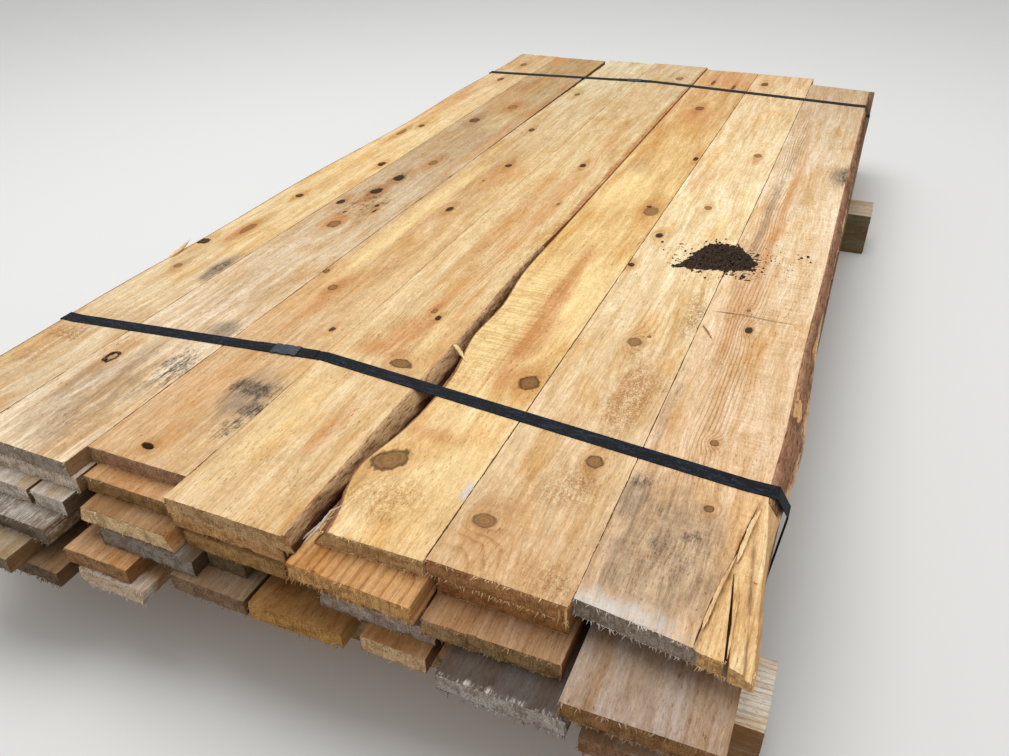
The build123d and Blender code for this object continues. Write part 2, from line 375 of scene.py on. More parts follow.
    def knotty(self, wood):
        """Knots: rings in a darker disc with a dark rim, and a stained halo along the grain."""
        knot, rim = self.settings.knot, self.settings.knot_rim
        dark = self.knot_dark
        ragged = self.knot_far + (self.fibre((100, 60, 100), 4, 0.65) - 0.5) * (dark * 0.9 + 0.35)
        disc = ragged.step(1.12, 0.80)
        rings = (ragged * 15).math("SINE").step(0.1, 1.0) * 0.35 + self.speck.step(0.52, 0.68) * 0.2
        knot_wood = self.mix(rings, knot, rim)
        black = dark.step(0.55, 1.0) * dark.step(1.3, 1.1)
        knot_wood = self.mix(black * 0.92, knot_wood, rim)
        bare = dark.step(1.2, 1.4)
        self.knot_rim = (ragged + bare * 0.3).step(0.62, 0.94) * ragged.step(1.22, 1.0)
        stretched = (self.knot_x * self.knot_x + self.knot_y * self.knot_y * 0.16).math("SQRT")
        stretched = stretched + (self.streak - 0.5) * 1.4 + (self.line - 0.5) * 0.8
        halo = stretched.step(2.3, 0.8) * (dark * 0.3 + 0.45)
        wood = self.tint(wood, halo, 0.78, 0.60, 0.41)
        wood = self.mix(disc * (black * 0.1 + 0.86 - bare * 0.6), wood, knot_wood)
        rim_mask = self.knot_rim * (dark * 0.6 + 0.28) * (self.mottle.step(0.70, 0.40) * 0.5 + 0.5)
        return self.mix(rim_mask.clamp(), wood, rim)

    def end_wood(self):
        """Sawn ends: open pores, vertical scores, rings and a few bright chips."""
        self.pores = self.noise(self.stretch(self.grain, (620, 620, 620)), 3, 0.75)
        self.score = self.noise(self.stretch(self.grain, (520, 300, 60), self.shift), 2, 0.6)
        patches = self.noise(self.stretch(self.grain, (60, 60, 75), self.shift), 4, 0.7)
        wood = self.tint(self.tone, self.pores.step(0.42, 0.68), 0.58, 0.52, 0.46)
        wood = self.tint(wood, self.score.step(0.50, 0.70), 0.70, 0.62, 0.54)
        wood = self.tint(wood, patches.step(0.45, 0.62), 0.66, 0.60, 0.54)
        wood = self.tint(wood, patches.step(0.44, 0.30), 1.25, 1.22, 1.16)
        wood = self.tint(wood, self.late * (self.ring_depth * 0.3 + 0.15), 0.62, 0.48, 0.36)
        return self.tint(wood, self.pores.step(0.44, 0.28), 1.7, 1.7, 1.7)

    def build(self):
        """All layers of colour, the relief of the face, and the finished material."""
        wood = self.stained(self.plain_wood())
        wood = self.knotty(self.fuzzy(self.torn_out(self.sawn_across(wood))))
        wood = self.mix(self.cut, wood, self.end_wood())
        height = self.fuzz * 0.9 + self.mottle * 0.4 + self.line * 0.5 - self.late * self.ring_depth * 0.6
        height = height - self.kerf_mask * 0.5 - self.torn_mask * 0.6 - self.tick * 0.3
        end_height = (self.pores * 0.9 + self.score * 0.8) * self.cut
        height = height - self.knot_rim * self.knot_dark * 0.6 + end_height
        return self.finish(wood, 0.82, height, 0.6, 0.9 * MM, dull)


def bark_material():
    """Stringy bark: long ridges over crevices, in tones that each strip carries. The crevices are painted
    darker: partly the bark's own colour, partly painted shade.
    """
    shader = Shader("Cedar bark")
    grain = shader.attribute("grain", "Vector")
    tone = shader.attribute("tone", "Color")
    ridge = shader.noise(shader.stretch(grain, (280, 30, 280)), 4, 0.75)
    strand = shader.noise(shader.stretch(grain, (900, 110, 900)), 2, 0.6)
    blotch = shader.noise(shader.stretch(grain, (40, 12, 40)), 3, 0.6)
    # Darker where the ridges sink: partly the bark's own colour, partly painted shade in the crevices
    bark = shader.tint(tone, ridge.step(0.48, 0.36), 0.34, 0.26, 0.20)
    bark = shader.tint(bark, strand.step(0.48, 0.68), 1.40, 1.38, 1.35)
    bark = shader.tint(bark, strand.step(0.45, 0.30), 0.62, 0.58, 0.54)
    bark = shader.tint(bark, blotch.step(0.52, 0.70), 0.60, 0.50, 0.44)
    bark = shader.tint(bark, blotch.step(0.42, 0.28), 1.35, 1.32, 1.3)
    return shader.finish(bark, 0.9, ridge + strand * 0.4, 0.9, 1.6 * MM, dull)


def soil_material(settings):
    """Dried soil: dark crumbs, paler on the rises of its bump (partly dust, partly painted highlight) and
    darker in its hollows (painted shade).
    """
    shader = Shader("Dried soil")
    place = shader.node("ShaderNodeTexCoord", output="Object")
    crumb = shader.noise(shader.stretch(place, (320, 320, 320)), 4, 0.75)
    # Darker in the hollows of the bump: painted shade
    tint = shader.tint(settings.soil, crumb.step(0.42, 0.30), 0.45, 0.42, 0.40)
    # Paler on the rises of the bump: partly dust, partly painted highlight
    tint = shader.tint(tint, crumb.step(0.50, 0.66), 3.6, 3.1, 2.7)
    return shader.finish(tint, 0.95, crumb, 0.9, 2 * MM, {"Specular IOR Level": 0.1})


def strapping_material(name, base, scuff_and_sheen_colour, gloss):
    """Blackened steel with scuffs along it, which are rubbed spots and also painted sheen of the sky."""
    shader = Shader(name)
    place = shader.node("ShaderNodeTexCoord", output="Object")
    scuff_and_sheen = shader.noise(shader.stretch(place, (55, 260, 260)), 4, 0.7)
    spot = shader.noise(shader.stretch(place, (330, 330, 330)), 3, 0.6)
    # Rubbed spots, and painted sheen of the sky on the black steel
    tint = shader.mix(scuff_and_sheen.step(0.50, 0.72) * 0.8, base, scuff_and_sheen_colour)
    tint = shader.mix(spot.step(0.58, 0.72) * 0.8, tint, scuff_and_sheen_colour)
    roughness = scuff_and_sheen.step(0.3, 0.7) * 0.2 + gloss
    return shader.finish(tint, roughness, scuff_and_sheen + spot * 0.5, 0.3, 0.3 * MM, {"Specular IOR Level": 0.12})


# What each board looks like. Places are in millimetres, across a board and along it,
# from the near left corner of its own box.

# The knots of a top board: the centre, half-sizes, darkness from 0 to 1, and turn in degrees of each.
# At a darkness of 1.5 only the rim is dark.
Knot = namedtuple("Knot", "across along wide long dark turn", defaults=[0])

knots = {
    "1_a": [
        (20, 655, 13, 13, 0.95), (67, 742, 9, 26, 0.3), (60, 942, 8, 11, 0.9), (73, 1522, 8, 12, 0.8),
        (48, 1450, 7, 26, 0.4), (131, 1200, 9, 14, 0.95), (77, 2292, 9, 20, 0.7), (80, 2078, 8, 18, 0.8),
        (52, 542, 8, 10, 0.2)],
    "1_b": [
        (36, 234, 11, 15, 1.5), (77, 832, 12, 17, 0.6), (70, 1130, 12, 18, 1.0), (64, 1034, 12, 18, 1.0),
        (21, 946, 8, 14, 1.0), (111, 956, 4, 7, 1.0), (122, 926, 3, 8, 1.0), (44, 1624, 12, 20, 0.8),
        (99, 1256, 9, 16, 0.5), (96, 1788, 12, 20, 0.4), (61, 898, 3, 6, 0.9)],
    "1_c": [
        (56, 538, 8, 10, 0.6), (6, 592, 6, 8, 0.7), (141, 406, 5, 7, 0.9), (91, 958, 7, 12, 0.95),
        (103, 1266, 7, 11, 0.9), (49, 1558, 7, 14, 0.85), (88, 1148, 3, 6, 0.5), (49, 1948, 7, 14, 0.7),
        (79, 34, 10, 5.5, 1.0, 12)],
    "1_d": [
        (130, 396, 19, 12, 0.7), (118, 550, 5, 8, 1.0), (101, 570, 5, 8, 0.5), (103, 1376, 7, 13, 0.95),
        (133, 1116, 4, 7, 0.5), (131, 2290, 12, 20, 0.3)],
    "1_e": [
        (46, 152, 19, 28, 0.68, 40), (153, 396, 15, 18, 0.7), (151, 1124, 16, 24, 0.25),
        (140, 1146, 6, 8, 0.9), (167, 1498, 6, 14, 0.95), (80, 1944, 12, 18, 0.7), (58, 2248, 5, 26, 0.8),
        (130, 2214, 5, 24, 0.8)],
    "1_f": [
        (128, 250, 12, 12, 0.6), (37, 90, 15, 12, 0.35), (92, 570, 11, 13, 0.45), (110, 594, 3, 5, 0.7),
        (22, 1000, 7, 12, 1.0), (85, 1184, 8, 11, 0.5), (132, 1574, 9, 14, 0.5), (6, 846, 7, 8, 0.95),
        (40, 2280, 11, 20, 0.8)],
    "1_g": [
        (80, 686, 6, 10, 0.95), (88, 358, 6, 7, 0.6), (109, 224, 6, 6, 0.7), (68, 754, 3, 5, 0.6)],
}

# The stains painted on a board, by kind: the centre, half-sizes and strength of each
Stain = namedtuple("Stain", "across along wide long strength")
stain_kinds = ("warm", "pale", "grey", "chalk", "soot", "torn", "sawn", "ring")

stains = {
    "1_a": {
        "warm": [
            (32, 1788, 40, 300, 0.4), (64, 1848, 9, 130, 0.8), (37, 238, 35, 60, 0.35),
            (52, 1428, 18, 60, 0.6), (60, 722, 22, 60, 0.7)],
        "torn": [(50, 262, 40, 30, 0.9), (62, 185, 35, 35, 0.5)],
        "grey": [(136, 560, 20, 80, 0.8)],
        "soot": [(138, 560, 14, 55, 0.55)],
    },
    "1_b": {
        "grey": [
            (91, 138, 110, 200, 0.44), (91, 1538, 110, 300, 0.15), (91, 488, 110, 200, 0.2),
            (150, 374, 34, 40, 0.9), (91, 2188, 110, 300, 0.15)],
        "warm": [
            (66, 850, 26, 55, 0.8), (91, 1228, 26, 60, 0.7), (96, 1788, 26, 50, 0.7),
            (50, 1880, 46, 150, 0.4), (165, 1500, 16, 420, 0.5), (26, 2388, 26, 80, 0.9),
            (69, 1040, 9, 150, 0.6), (50, 960, 26, 30, 0.5)],
        "soot": [
            (156, 250, 36, 60, 0.8), (140, 200, 30, 50, 0.35), (150, 374, 26, 30, 0.35),
            (44, 1624, 30, 60, 0.35), (80, 960, 70, 90, 0.5), (70, 1130, 30, 50, 0.6)],
        "pale": [(110, 1660, 44, 120, 0.35)],
    },
    "1_c": {
        "warm": [(60, 470, 34, 130, 0.6), (61, 168, 50, 100, 0.35), (100, 1180, 40, 90, 0.5)],
        "soot": [(138, 205, 50, 30, 0.9), (160, 160, 24, 38, 0.8), (158, 112, 20, 34, 0.75)],
        "pale": [(40, 880, 24, 420, 0.7), (151, 848, 24, 900, 0.3)],
        "grey": [(140, 190, 46, 80, 0.8)],
    },
    "1_d": {
        "warm": [
            (78, 425, 44, 36, 0.9), (92, 490, 30, 90, 0.9), (96, 610, 16, 110, 0.8),
            (116, 1190, 26, 500, 0.6), (71, 990, 30, 260, 0.45), (120, 205, 16, 60, 0.8),
            (146, 330, 8, 40, 0.5), (146, 630, 8, 90, 0.6), (183, 1500, 8, 900, 0.9)],
        "ring": [(100, 900, 60, 500, 0.3)],
        "pale": [(41, 190, 30, 150, 0.4), (140, 500, 12, 120, 0.6)],
        "torn": [(181, 1500, 10, 900, 1.0)],
    },
    "1_e": {
        "warm": [
            (96, 660, 24, 130, 1.0), (108, 520, 28, 100, 1.0), (122, 400, 34, 50, 0.8),
            (90, 800, 14, 120, 0.8), (143, 1134, 32, 60, 0.6), (83, 1864, 50, 110, 0.8),
            (88, 2294, 90, 100, 0.6), (75, 225, 50, 16, 0.6)],
        "pale": [
            (140, 640, 30, 180, 0.9), (70, 1250, 50, 160, 0.8), (43, 604, 45, 260, 0.8),
            (38, 1204, 40, 120, 0.6), (130, 150, 50, 90, 0.5)],
        "sawn": [(56, 600, 60, 260, 1.0)],
        "torn": [(83, 84, 50, 50, 0.8)],
        "chalk": [(172, 140, 10, 30, 0.8)],
        "grey": [(73, 1394, 70, 90, 0.25)],
    },
    "1_f": {
        "torn": [
            (130, 420, 40, 120, 1.0), (160, 710, 16, 110, 0.9), (118, 190, 38, 45, 0.9),
            (150, 30, 32, 32, 0.8)],
        "warm": [
            (35, 1350, 26, 100, 0.4), (95, 60, 90, 60, 0.2), (135, 1530, 26, 40, 0.4),
            (130, 430, 40, 110, 0.35)],
        "soot": [(172, 720, 8, 140, 0.35)],
        "ring": [(60, 40, 50, 45, 0.5), (100, 620, 40, 160, 0.4)],
    },
    "1_g": {
        "grey": [
            (70, 110, 100, 170, 0.6), (15, 206, 26, 60, 0.7), (35, 1266, 14, 500, 0.45),
            (8, 400, 12, 180, 0.35), (160, 1496, 26, 90, 0.8)],
        "chalk": [(30, 14, 112, 34, 0.95)],
        "sawn": [(75, 116, 95, 150, 0.25), (120, 900, 62, 700, 0.55)],
        "soot": [
            (21, 242, 20, 14, 0.8), (101, 164, 14, 16, 0.8), (85, 136, 60, 80, 0.35),
            (40, 180, 40, 60, 0.3), (60, 960, 60, 50, 0.35), (167, 1496, 18, 80, 0.7)],
        "warm": [(63, 1266, 10, 450, 0.8), (50, 820, 30, 260, 0.5), (40, 1150, 26, 200, 0.4)],
        "ring": [
            (78, 480, 30, 240, 0.9), (58, 760, 34, 240, 1.0), (42, 1150, 30, 300, 1.0),
            (35, 1650, 24, 320, 1.0)],
    },
    "4_b": {
        "chalk": [(90, 60, 120, 120, 0.52)],
    },
    "4_g": {
        "chalk": [(80, 2, 120, 8, 0.4)],
    },
    "6_c": {
        "chalk": [(60, 10, 90, 22, 0.9)],
    },
}

# The colours of a board, as the screen shows them: its broad faces at the near end, in the middle
# and at the far end, its near end and its sides
Look = namedtuple("Look", "near middle far end side")


def plain(face, end, side):
    """The look of a board that is the same all along."""
    return Look(face, face, face, end, side)


looks = {
    "1_a": Look((215, 192, 159), (233, 205, 153), (206, 178, 138), (150, 134, 108), (186, 148, 106)),
    "1_b": Look((236, 213, 180), (196, 171, 137), (184, 153, 108), (160, 150, 136), (150, 118, 84)),
    "1_c": Look((216, 181, 138), (210, 177, 130), (216, 203, 168), (176, 140, 110), (176, 134, 92)),
    "1_d": Look((229, 199, 154), (224, 196, 147), (209, 186, 149), (194, 158, 114), (180, 142, 98)),
    "1_e": Look((241, 210, 158), (227, 192, 131), (210, 171, 124), (204, 172, 124), (184, 142, 98)),
    "1_f": Look((219, 185, 142), (245, 225, 182), (221, 190, 147), (184, 136, 90), (180, 138, 94)),
    "1_g": Look((226, 190, 150), (238, 214, 178), (198, 172, 140), (164, 154, 142), (214, 170, 120)),
    # The faces of 2_c, 2_e, 3_d, 4_b and 4_g are darker than their wood: partly painted shade, where they lie
    # under the boards above. The end of 2_g is partly dark bark and partly painted shade under 1_g.
    "2_a": plain((206, 194, 178), (212, 200, 186), (130, 104, 76)),
    "2_b": plain((206, 194, 178), (212, 200, 186), (136, 106, 74)),
    # Face partly painted shade under the boards above
    "2_c": plain((202, 160, 116), (156, 126, 82), (130, 95, 60)),
    "2_d": plain((170, 134, 92), (198, 154, 102), (112, 86, 56)),
    # Face partly painted shade under the boards above
    "2_e": plain((209, 163, 111), (206, 160, 102), (190, 148, 100)),
    "2_f": plain((200, 150, 100), (168, 122, 76), (152, 114, 72)),
    # End partly dark bark, partly painted shade under 1_g
    "2_g": plain((120, 95, 70), (74, 54, 38), (90, 65, 45)),
    "3_a": plain((206, 194, 180), (206, 197, 186), (128, 104, 76)),
    "3_b": plain((220, 210, 198), (214, 205, 195), (136, 106, 74)),
    "3_c": plain((212, 202, 190), (206, 198, 188), (98, 82, 64)),
    # Face partly painted shade under the boards above
    "3_d": plain((162, 126, 90), (226, 198, 152), (190, 148, 104)),
    "3_e": plain((150, 120, 80), (166, 130, 80), (110, 84, 56)),
    "3_f": plain((190, 150, 100), (190, 150, 98), (150, 112, 70)),
    "3_g": plain((178, 142, 106), (166, 136, 96), (176, 130, 90)),
    "3_h": plain((180, 160, 144), (146, 108, 66), (170, 124, 84)),
    # Face partly painted shade under the boards above
    "4_b": plain((128, 116, 102), (116, 104, 90), (120, 92, 64)),
    "4_c": plain((128, 120, 110), (144, 136, 126), (84, 72, 60)),
    "4_d": plain((140, 125, 105), (112, 94, 70), (96, 78, 58)),
    "4_e": plain((150, 135, 125), (150, 134, 122), (100, 80, 60)),
    "4_f": plain((150, 140, 132), (176, 160, 150), (104, 84, 64)),
    # Face partly painted shade under the boards above
    "4_g": plain((90, 80, 74), (172, 164, 158), (96, 82, 68)),
    "5_b": plain((164, 146, 120), (128, 112, 92), (128, 98, 64)),
    "5_c": plain((194, 154, 112), (158, 120, 82), (140, 104, 70)),
    "5_d": plain((150, 128, 104), (134, 108, 84), (110, 84, 60)),
    "5_e": plain((160, 120, 72), (180, 136, 76), (160, 118, 68)),
    "5_f": plain((190, 150, 106), (208, 176, 136), (120, 88, 60)),
    "5_h": plain((170, 140, 114), (138, 104, 76), (110, 82, 58)),
    "6_b": plain((140, 112, 84), (104, 88, 68), (96, 74, 54)),
    "6_c": plain((176, 138, 100), (206, 184, 158), (140, 104, 74)),
}
common_look = plain((205, 170, 126), (136, 114, 84), (140, 106, 70))
far_end_shades = [(150, 132, 108), (132, 104, 74)]
bearer_looks = {
    "bearer_near": plain((255, 246, 230), (224, 200, 168), (140, 108, 78)),
    "bearer_far": plain((206, 192, 172), (150, 134, 110), (120, 108, 84)),
}

# Boards with a figure of their own: how strongly the rings show, how far apart they are,
# where the pith lies (across, up) and how strongly the saw's lines show
Figure = namedtuple("Figure", "depth gap pith_across pith_up saw")
figures = {
    "2_e": Figure(0.6, 13.0, -900, 10, 0.2),
    "3_h": Figure(0.16, 3.4, 60, -160, 0.1),
    "3_g": Figure(0.30, 9.0, -700, 10, 0.2),
    "1_f": Figure(0.14, 5.0, 40, -80, 0.3),
    "1_g": Figure(0.05, 6.0, -160, -40, 0.3),
    "5_e": Figure(0.30, 3.6, 80, -300, 0.2),
    "bearer_near": Figure(0.55, 8.5, -600, 56, 0.2),
    "bearer_far": Figure(0.3, 8.0, -600, 56, 0.2),
}

# The right-hand top board has a torn corner: (along, across) of the tear and of the step in it.
# Inside the tear runs a split, with its root at a place along the board and its sides at
# (the near end, the root) across it. Depths are in millimetres too.
split_board = "1_g"
tear_line = [(0, 138), (63, 143), (150, 154), (247, 164), (262, 178)]
step_line = [(0, 192), (241, 165)]
tear_depth, tear_ridges, step_depth = 4.0, 3.0, 6.5
split_root = 133
split_left = (170, 156)
split_right = (176, 157)
sliver_width, sliver_length = 22, 150
# The line colour is painted shadow, along the torn edge and the step.
torn_end_colour, torn_wood_colour, torn_shadow_line_colour = (226, 184, 128), (243, 211, 162), (108, 64, 34)
torn_corner_stains = {"pale": 0.2, "warm": 0.1, "grey": 0.0, "chalk": 0.0, "soot": 0.0, "ring": 0.3}

# The knot that fell out: its board, centre, half-sizes and depth
hole_board = "1_c"
hole_across, hole_along, hole_wide, hole_long, hole_depth = 79, 34, 9, 5, 7

# The attributes that the cedar's shader reads
board_attributes = {
    "grain": ("FLOAT_VECTOR", "POINT"),
    "pith": ("FLOAT_VECTOR", "POINT"),
    "figure": ("FLOAT_VECTOR", "POINT"),
    "wear": ("FLOAT_VECTOR", "POINT"),
    "stain": ("FLOAT_COLOR", "POINT"),
    "knot": ("FLOAT_VECTOR", "CORNER"),
    "tone": ("FLOAT_COLOR", "CORNER"),
    "cut": ("FLOAT", "CORNER"),
}

# How many knots a board has where they aren't given
random_knots = 8

# What a face of a board is, and what a corner far from any knot reads
FACE, SIDE, END, FIBRE = range(4)
far_from_knots = (50, 50, 0)


# Helpers for the pieces

# A block with more rows than this along an axis is cut in two steps
most_cuts = 100


def deselect():
    """Leaves edit mode, with nothing selected."""
    if bpy.context.mode != "OBJECT":
        bpy.ops.object.mode_set(mode="OBJECT")
    bpy.ops.object.select_all(action="DESELECT")


def pick(piece, *others):
    """Selects some pieces, the first one active."""
    deselect()
    for one in (piece, *others):
        one.select_set(True)
    bpy.context.view_layer.objects.active = piece


def subdivide(piece, cuts, chosen):
    """Cuts the edges that chosen(edge) picks, in edit mode."""
    bpy.ops.mesh.select_all(action="DESELECT")
    mesh = bmesh.from_edit_mesh(piece.data)
    for edge in mesh.edges:
        edge.select_set(chosen(edge))
    bmesh.update_edit_mesh(piece.data)
    if cuts:
        bpy.ops.mesh.subdivide(number_cuts=cuts)


def keep(piece, name, slot, *nodes):
    """Names a finished piece, puts it under the root, and hides the solids that it replaces."""
    piece.name = name
    piece.data.name = name
    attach(piece, "root")
    if nodes:
        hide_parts(*nodes)


def between(points, place):
    """The value of a line through some points, level beyond its ends."""
    for (start, low), (end, high) in zip(points, points[1:]):
        if place <= end:
            return low + (high - low) * min(max((place - start) / (end - start), 0), 1)
    return points[-1][1]


def roughness_at(point, size, seed):
    """Smooth noise from about -1 to 1 at a point, with features of about the given size."""
    return noise.noise(point / size + Vector((seed * 3.1, seed * 1.7, seed * 5.3)))


def on_board(label, across, along, up=0.0):
    """A point on a board, in the shared frame."""
    low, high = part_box("board_" + label)
    return Vector((low.x + across * MM, low.y + along * MM, high.z + up * MM))


def rows(size, first, last, growth=1.0):
    """Where a piece is cut along one axis: close to both arrises, with gaps from first to last between."""
    arris = [0.0, 0.8 * MM, 2.4 * MM, 5 * MM]
    places = list(arris)
    gap = first * MM
    while places[-1] + gap < size - 6 * MM:
        places.append(places[-1] + gap)
        gap = min(gap * growth, last * MM)
    return places + [size - place for place in reversed(arris)]


def gridded_block(counts):
    """A block one metre wide, cut into rows along each axis in edit mode, and each point's row numbers."""
    deselect()
    bpy.ops.mesh.primitive_cube_add(size=1, location=(0.5, 0.5, 0.5))
    bpy.ops.object.transform_apply(location=True, rotation=False, scale=False)
    block = bpy.context.object
    bpy.ops.object.mode_set(mode="EDIT")
    bpy.ops.mesh.select_mode(type="EDGE")
    for axis, count in enumerate(counts):

        def runs_along(edge):
            run = edge.verts[0].co - edge.verts[1].co
            return abs(run[axis]) > 0.5 * run.length

        for share in (2, count // 2) if count > most_cuts else (count,):
            subdivide(block, share - 1, runs_along)
    bpy.ops.object.mode_set(mode="OBJECT")
    steps = [tuple(round(vertex.co[k] * counts[k]) for k in range(3)) for vertex in block.data.vertices]
    return block, steps


def shares(count):
    """The ends of a number of equal parts of one."""
    return [row / count for row in range(count + 1)]


def even(places):
    """The same places with one more if they make an odd number of rows, so that a block can halve them."""
    if len(places) % 2 == 0:
        places.insert(-4, (places[-4] + places[-5]) / 2)
    return places


def block_from(cuts, place):
    """A gridded block whose points go where place(row numbers) puts them."""
    block, steps = gridded_block([len(places) - 1 for places in cuts])
    for vertex, step in zip(block.data.vertices, steps):
        vertex.co = place(*(places[index] for places, index in zip(cuts, step)))
    return block, steps


def mark_kinds(block, steps, counts, end_axis=1, side_axis=0):
    """Marks each face as a broad face, a side or an end, by the rows that it lies between."""
    kinds = block.data.attributes.new("kind", "INT", "FACE").data
    for face in block.data.polygons:
        for axis, kind in ((end_axis, END), (side_axis, SIDE)):
            places = {steps[vertex][axis] for vertex in face.vertices}
            if places == {0} or places == {counts[axis]}:
                kinds[face.index].value = kind
                break


class Outline:
    """The edge of a board's upper or lower face, read from its solid."""

    def __init__(self, node, upper):
        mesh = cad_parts[node].data
        low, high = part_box(node)
        level = high.z if upper else low.z
        shared = {}
        for face in mesh.polygons:
            if abs(face.center.z - level) < 0.01 * MM:
                corners = [tuple(round(c, 6) for c in mesh.vertices[v].co) for v in face.vertices]
                for start, end in zip(corners, corners[1:] + corners[:1]):
                    pair = (min(start, end), max(start, end))
                    shared[pair] = shared.get(pair, 0) + 1
        self.edges = [pair for pair, count in shared.items() if count == 1]
        points = [point for pair in self.edges for point in pair]

        def corner(x, y):
            return min(points, key=lambda p: (p[0] - x) ** 2 + (p[1] - y) ** 2)

        self.near = [corner(low.x, low.y)[1], corner(high.x, low.y)[1]]
        self.far = [corner(low.x, high.y)[1], corner(high.x, high.y)[1]]

    def span(self, y):
        """The leftmost and rightmost x at a distance along the board."""
        y = min(max(y, max(self.near) + 0.5 * MM), min(self.far) - 0.5 * MM)
        hits = []
        for start, end in self.edges:
            if (start[1] - y) * (end[1] - y) < 0:
                part = (y - start[1]) / (end[1] - start[1])
                hits.append(start[0] + (end[0] - start[0]) * part)
        return min(hits), max(hits)


class Hull:
    """The space of a board between its lower and upper outlines, cut into rows."""

    def __init__(self, node, along):
        self.low, self.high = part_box(node)
        self.size = self.high - self.low
        self.outlines = [Outline(node, False), Outline(node, True)]
        self.spans = {}
        for place in along:
            part = place / self.size.y
            self.spans[place] = [self.edges_at(outline, part) for outline in self.outlines]

    @staticmethod
    def edges_at(outline, part):
        """x of both edges at a part of the length, measured along each edge."""
        left, right = (near + (far - near) * part for near, far in zip(outline.near, outline.far))
        return outline.span(left)[0], outline.span(right)[1]

    def edge(self, side, along, part):
        """x of the left (0) or right (1) edge, at a row and a part of the height."""
        lower, upper = self.spans[along]
        return lower[side] * (1 - part) + upper[side] * part

    def place(self, across, along, up):
        """The point of the board at the given rows."""
        u, v, w = across / self.size.x, along / self.size.y, up / self.size.z
        left, right = self.edge(0, along, w), self.edge(1, along, w)
        upper = self.outlines[1]
        near = upper.near[0] * (1 - u) + upper.near[1] * u
        far = upper.far[0] * (1 - u) + upper.far[1] * u
        return Vector((left + (right - left) * u, near + (far - near) * v, self.low.z + up))


def roughen(block, steps, cuts, seed, settings, end_axis=1, end_relief=1.0):
    """Wears and chips the arrises of a gridded block, and roughens its faces."""
    grain = Vector((1, 1, 1))
    grain[end_axis] = 0.25
    sizes = [places[-1] for places in cuts]
    worn = block.data.attributes.new("worn", "FLOAT", "POINT").data
    for vertex, step in zip(block.data.vertices, steps):
        place = vertex.co.copy()
        depth = [min(cuts[k][step[k]], sizes[k] - cuts[k][step[k]]) for k in range(3)]
        inward = [1 if cuts[k][step[k]] < sizes[k] / 2 else -1 for k in range(3)]
        chip = roughness_at(place, 16 * MM, seed) + roughness_at(place, 5 * MM, seed + 9) * 0.8 - 0.15
        pull = Vector((0, 0, 0))
        wear = 0.0
        for one, two in combinations(range(3), 2):
            at_end = end_axis in (one, two)
            if at_end:
                reach = settings.arris_wear + settings.chip_depth * max(0.0, chip) * 1.2
            else:
                reach = settings.arris_wear * 0.4 + settings.chip_depth * max(0.0, chip - 0.3) * 0.7
            cut = reach - depth[one] - depth[two]
            if cut > 0:
                pull[one] += inward[one] * cut / 2
                pull[two] += inward[two] * cut / 2
                wear = max(wear, cut / (3 * MM))
        for k in range(3):
            if depth[k] > 0:
                continue
            if k == end_axis:
                stretched = Vector((place.x, place.y, place.z * 0.4))
                rough = roughness_at(stretched, 4 * MM, seed + 2) * 0.8
                rough += roughness_at(place, 18 * MM, seed) * 0.9
                pull[k] += inward[k] * settings.face_relief * end_relief * 2.2 * max(0.0, 0.7 + rough)
            else:
                along = Vector(place[i] * grain[i] for i in range(3))
                rough = roughness_at(along, 22 * MM, seed + 4) + roughness_at(along, 5 * MM, seed + 5) * 0.6
                pull[k] += inward[k] * settings.face_relief * (0.5 + 0.5 * rough)
        vertex.co = place + pull
        worn[vertex.index].value = min(wear, 1.0)


def frayed_fibre():
    """One frayed fibre, one metre long and wide, which points up and curls over."""
    deselect()
    bpy.ops.mesh.primitive_cone_add(vertices=4, radius1=0.5, radius2=0.08, depth=1, location=(0, 0, 0.5))
    bpy.ops.object.transform_apply(location=True, rotation=False, scale=False)
    fibre = bpy.context.object
    bpy.ops.object.mode_set(mode="EDIT")
    bpy.ops.mesh.select_mode(type="EDGE")
    subdivide(fibre, 2, lambda edge: abs(edge.verts[0].co.z - edge.verts[1].co.z) > 0.5)
    bpy.ops.object.mode_set(mode="OBJECT")
    kinds = fibre.data.attributes.new("kind", "INT", "FACE").data
    for face in fibre.data.polygons:
        kinds[face.index].value = FIBRE
    return fibre


def fibre_places(node, chance, settings, share):
    """Where frayed fibres stand along the arrises of a board's near end."""
    hull = Hull(node, [0.0])
    low, high = hull.low, hull.high
    places = []
    left, right = hull.edge(0, 0.0, 0.5), hull.edge(1, 0.0, 0.5)
    near = hull.outlines[1].near
    count = int((right - left) / settings.fibre_gap * share)
    for _ in range(count):
        part = chance.random()
        edge = chance.choices(("lower", "upper", "side"), (0.55, 0.3, 0.15))[0]
        x = left + (right - left) * part
        y = near[0] * (1 - part) + near[1] * part
        lean = chance.uniform(-0.9, 0.9)
        if edge == "lower":
            start = Vector((x, y + 1.5 * MM, low.z + 1.2 * MM))
            aim = Vector((lean, -chance.uniform(0.2, 1.2), -chance.uniform(0.3, 1.0)))
        elif edge == "upper":
            start = Vector((x, y + 2.0 * MM, high.z - 1.5 * MM))
            aim = Vector((lean, -1, chance.uniform(-0.5, 0.25)))
        else:
            end = chance.choice((left, right))
            inside = 1 if end == left else -1
            front = near[0 if inside > 0 else 1] + 2 * MM
            start = Vector((end + inside * 1.5 * MM, front, chance.uniform(low.z, high.z)))
            aim = Vector((-inside * chance.uniform(0.0, 0.9), -1, lean * 0.6))
        long = settings.fibre_length * chance.uniform(0.2, 1.0) ** 1.6
        wide = chance.uniform(0.8, 2.2) * MM
        places.append(fibre_matrix(start, aim, wide, long))
    return places


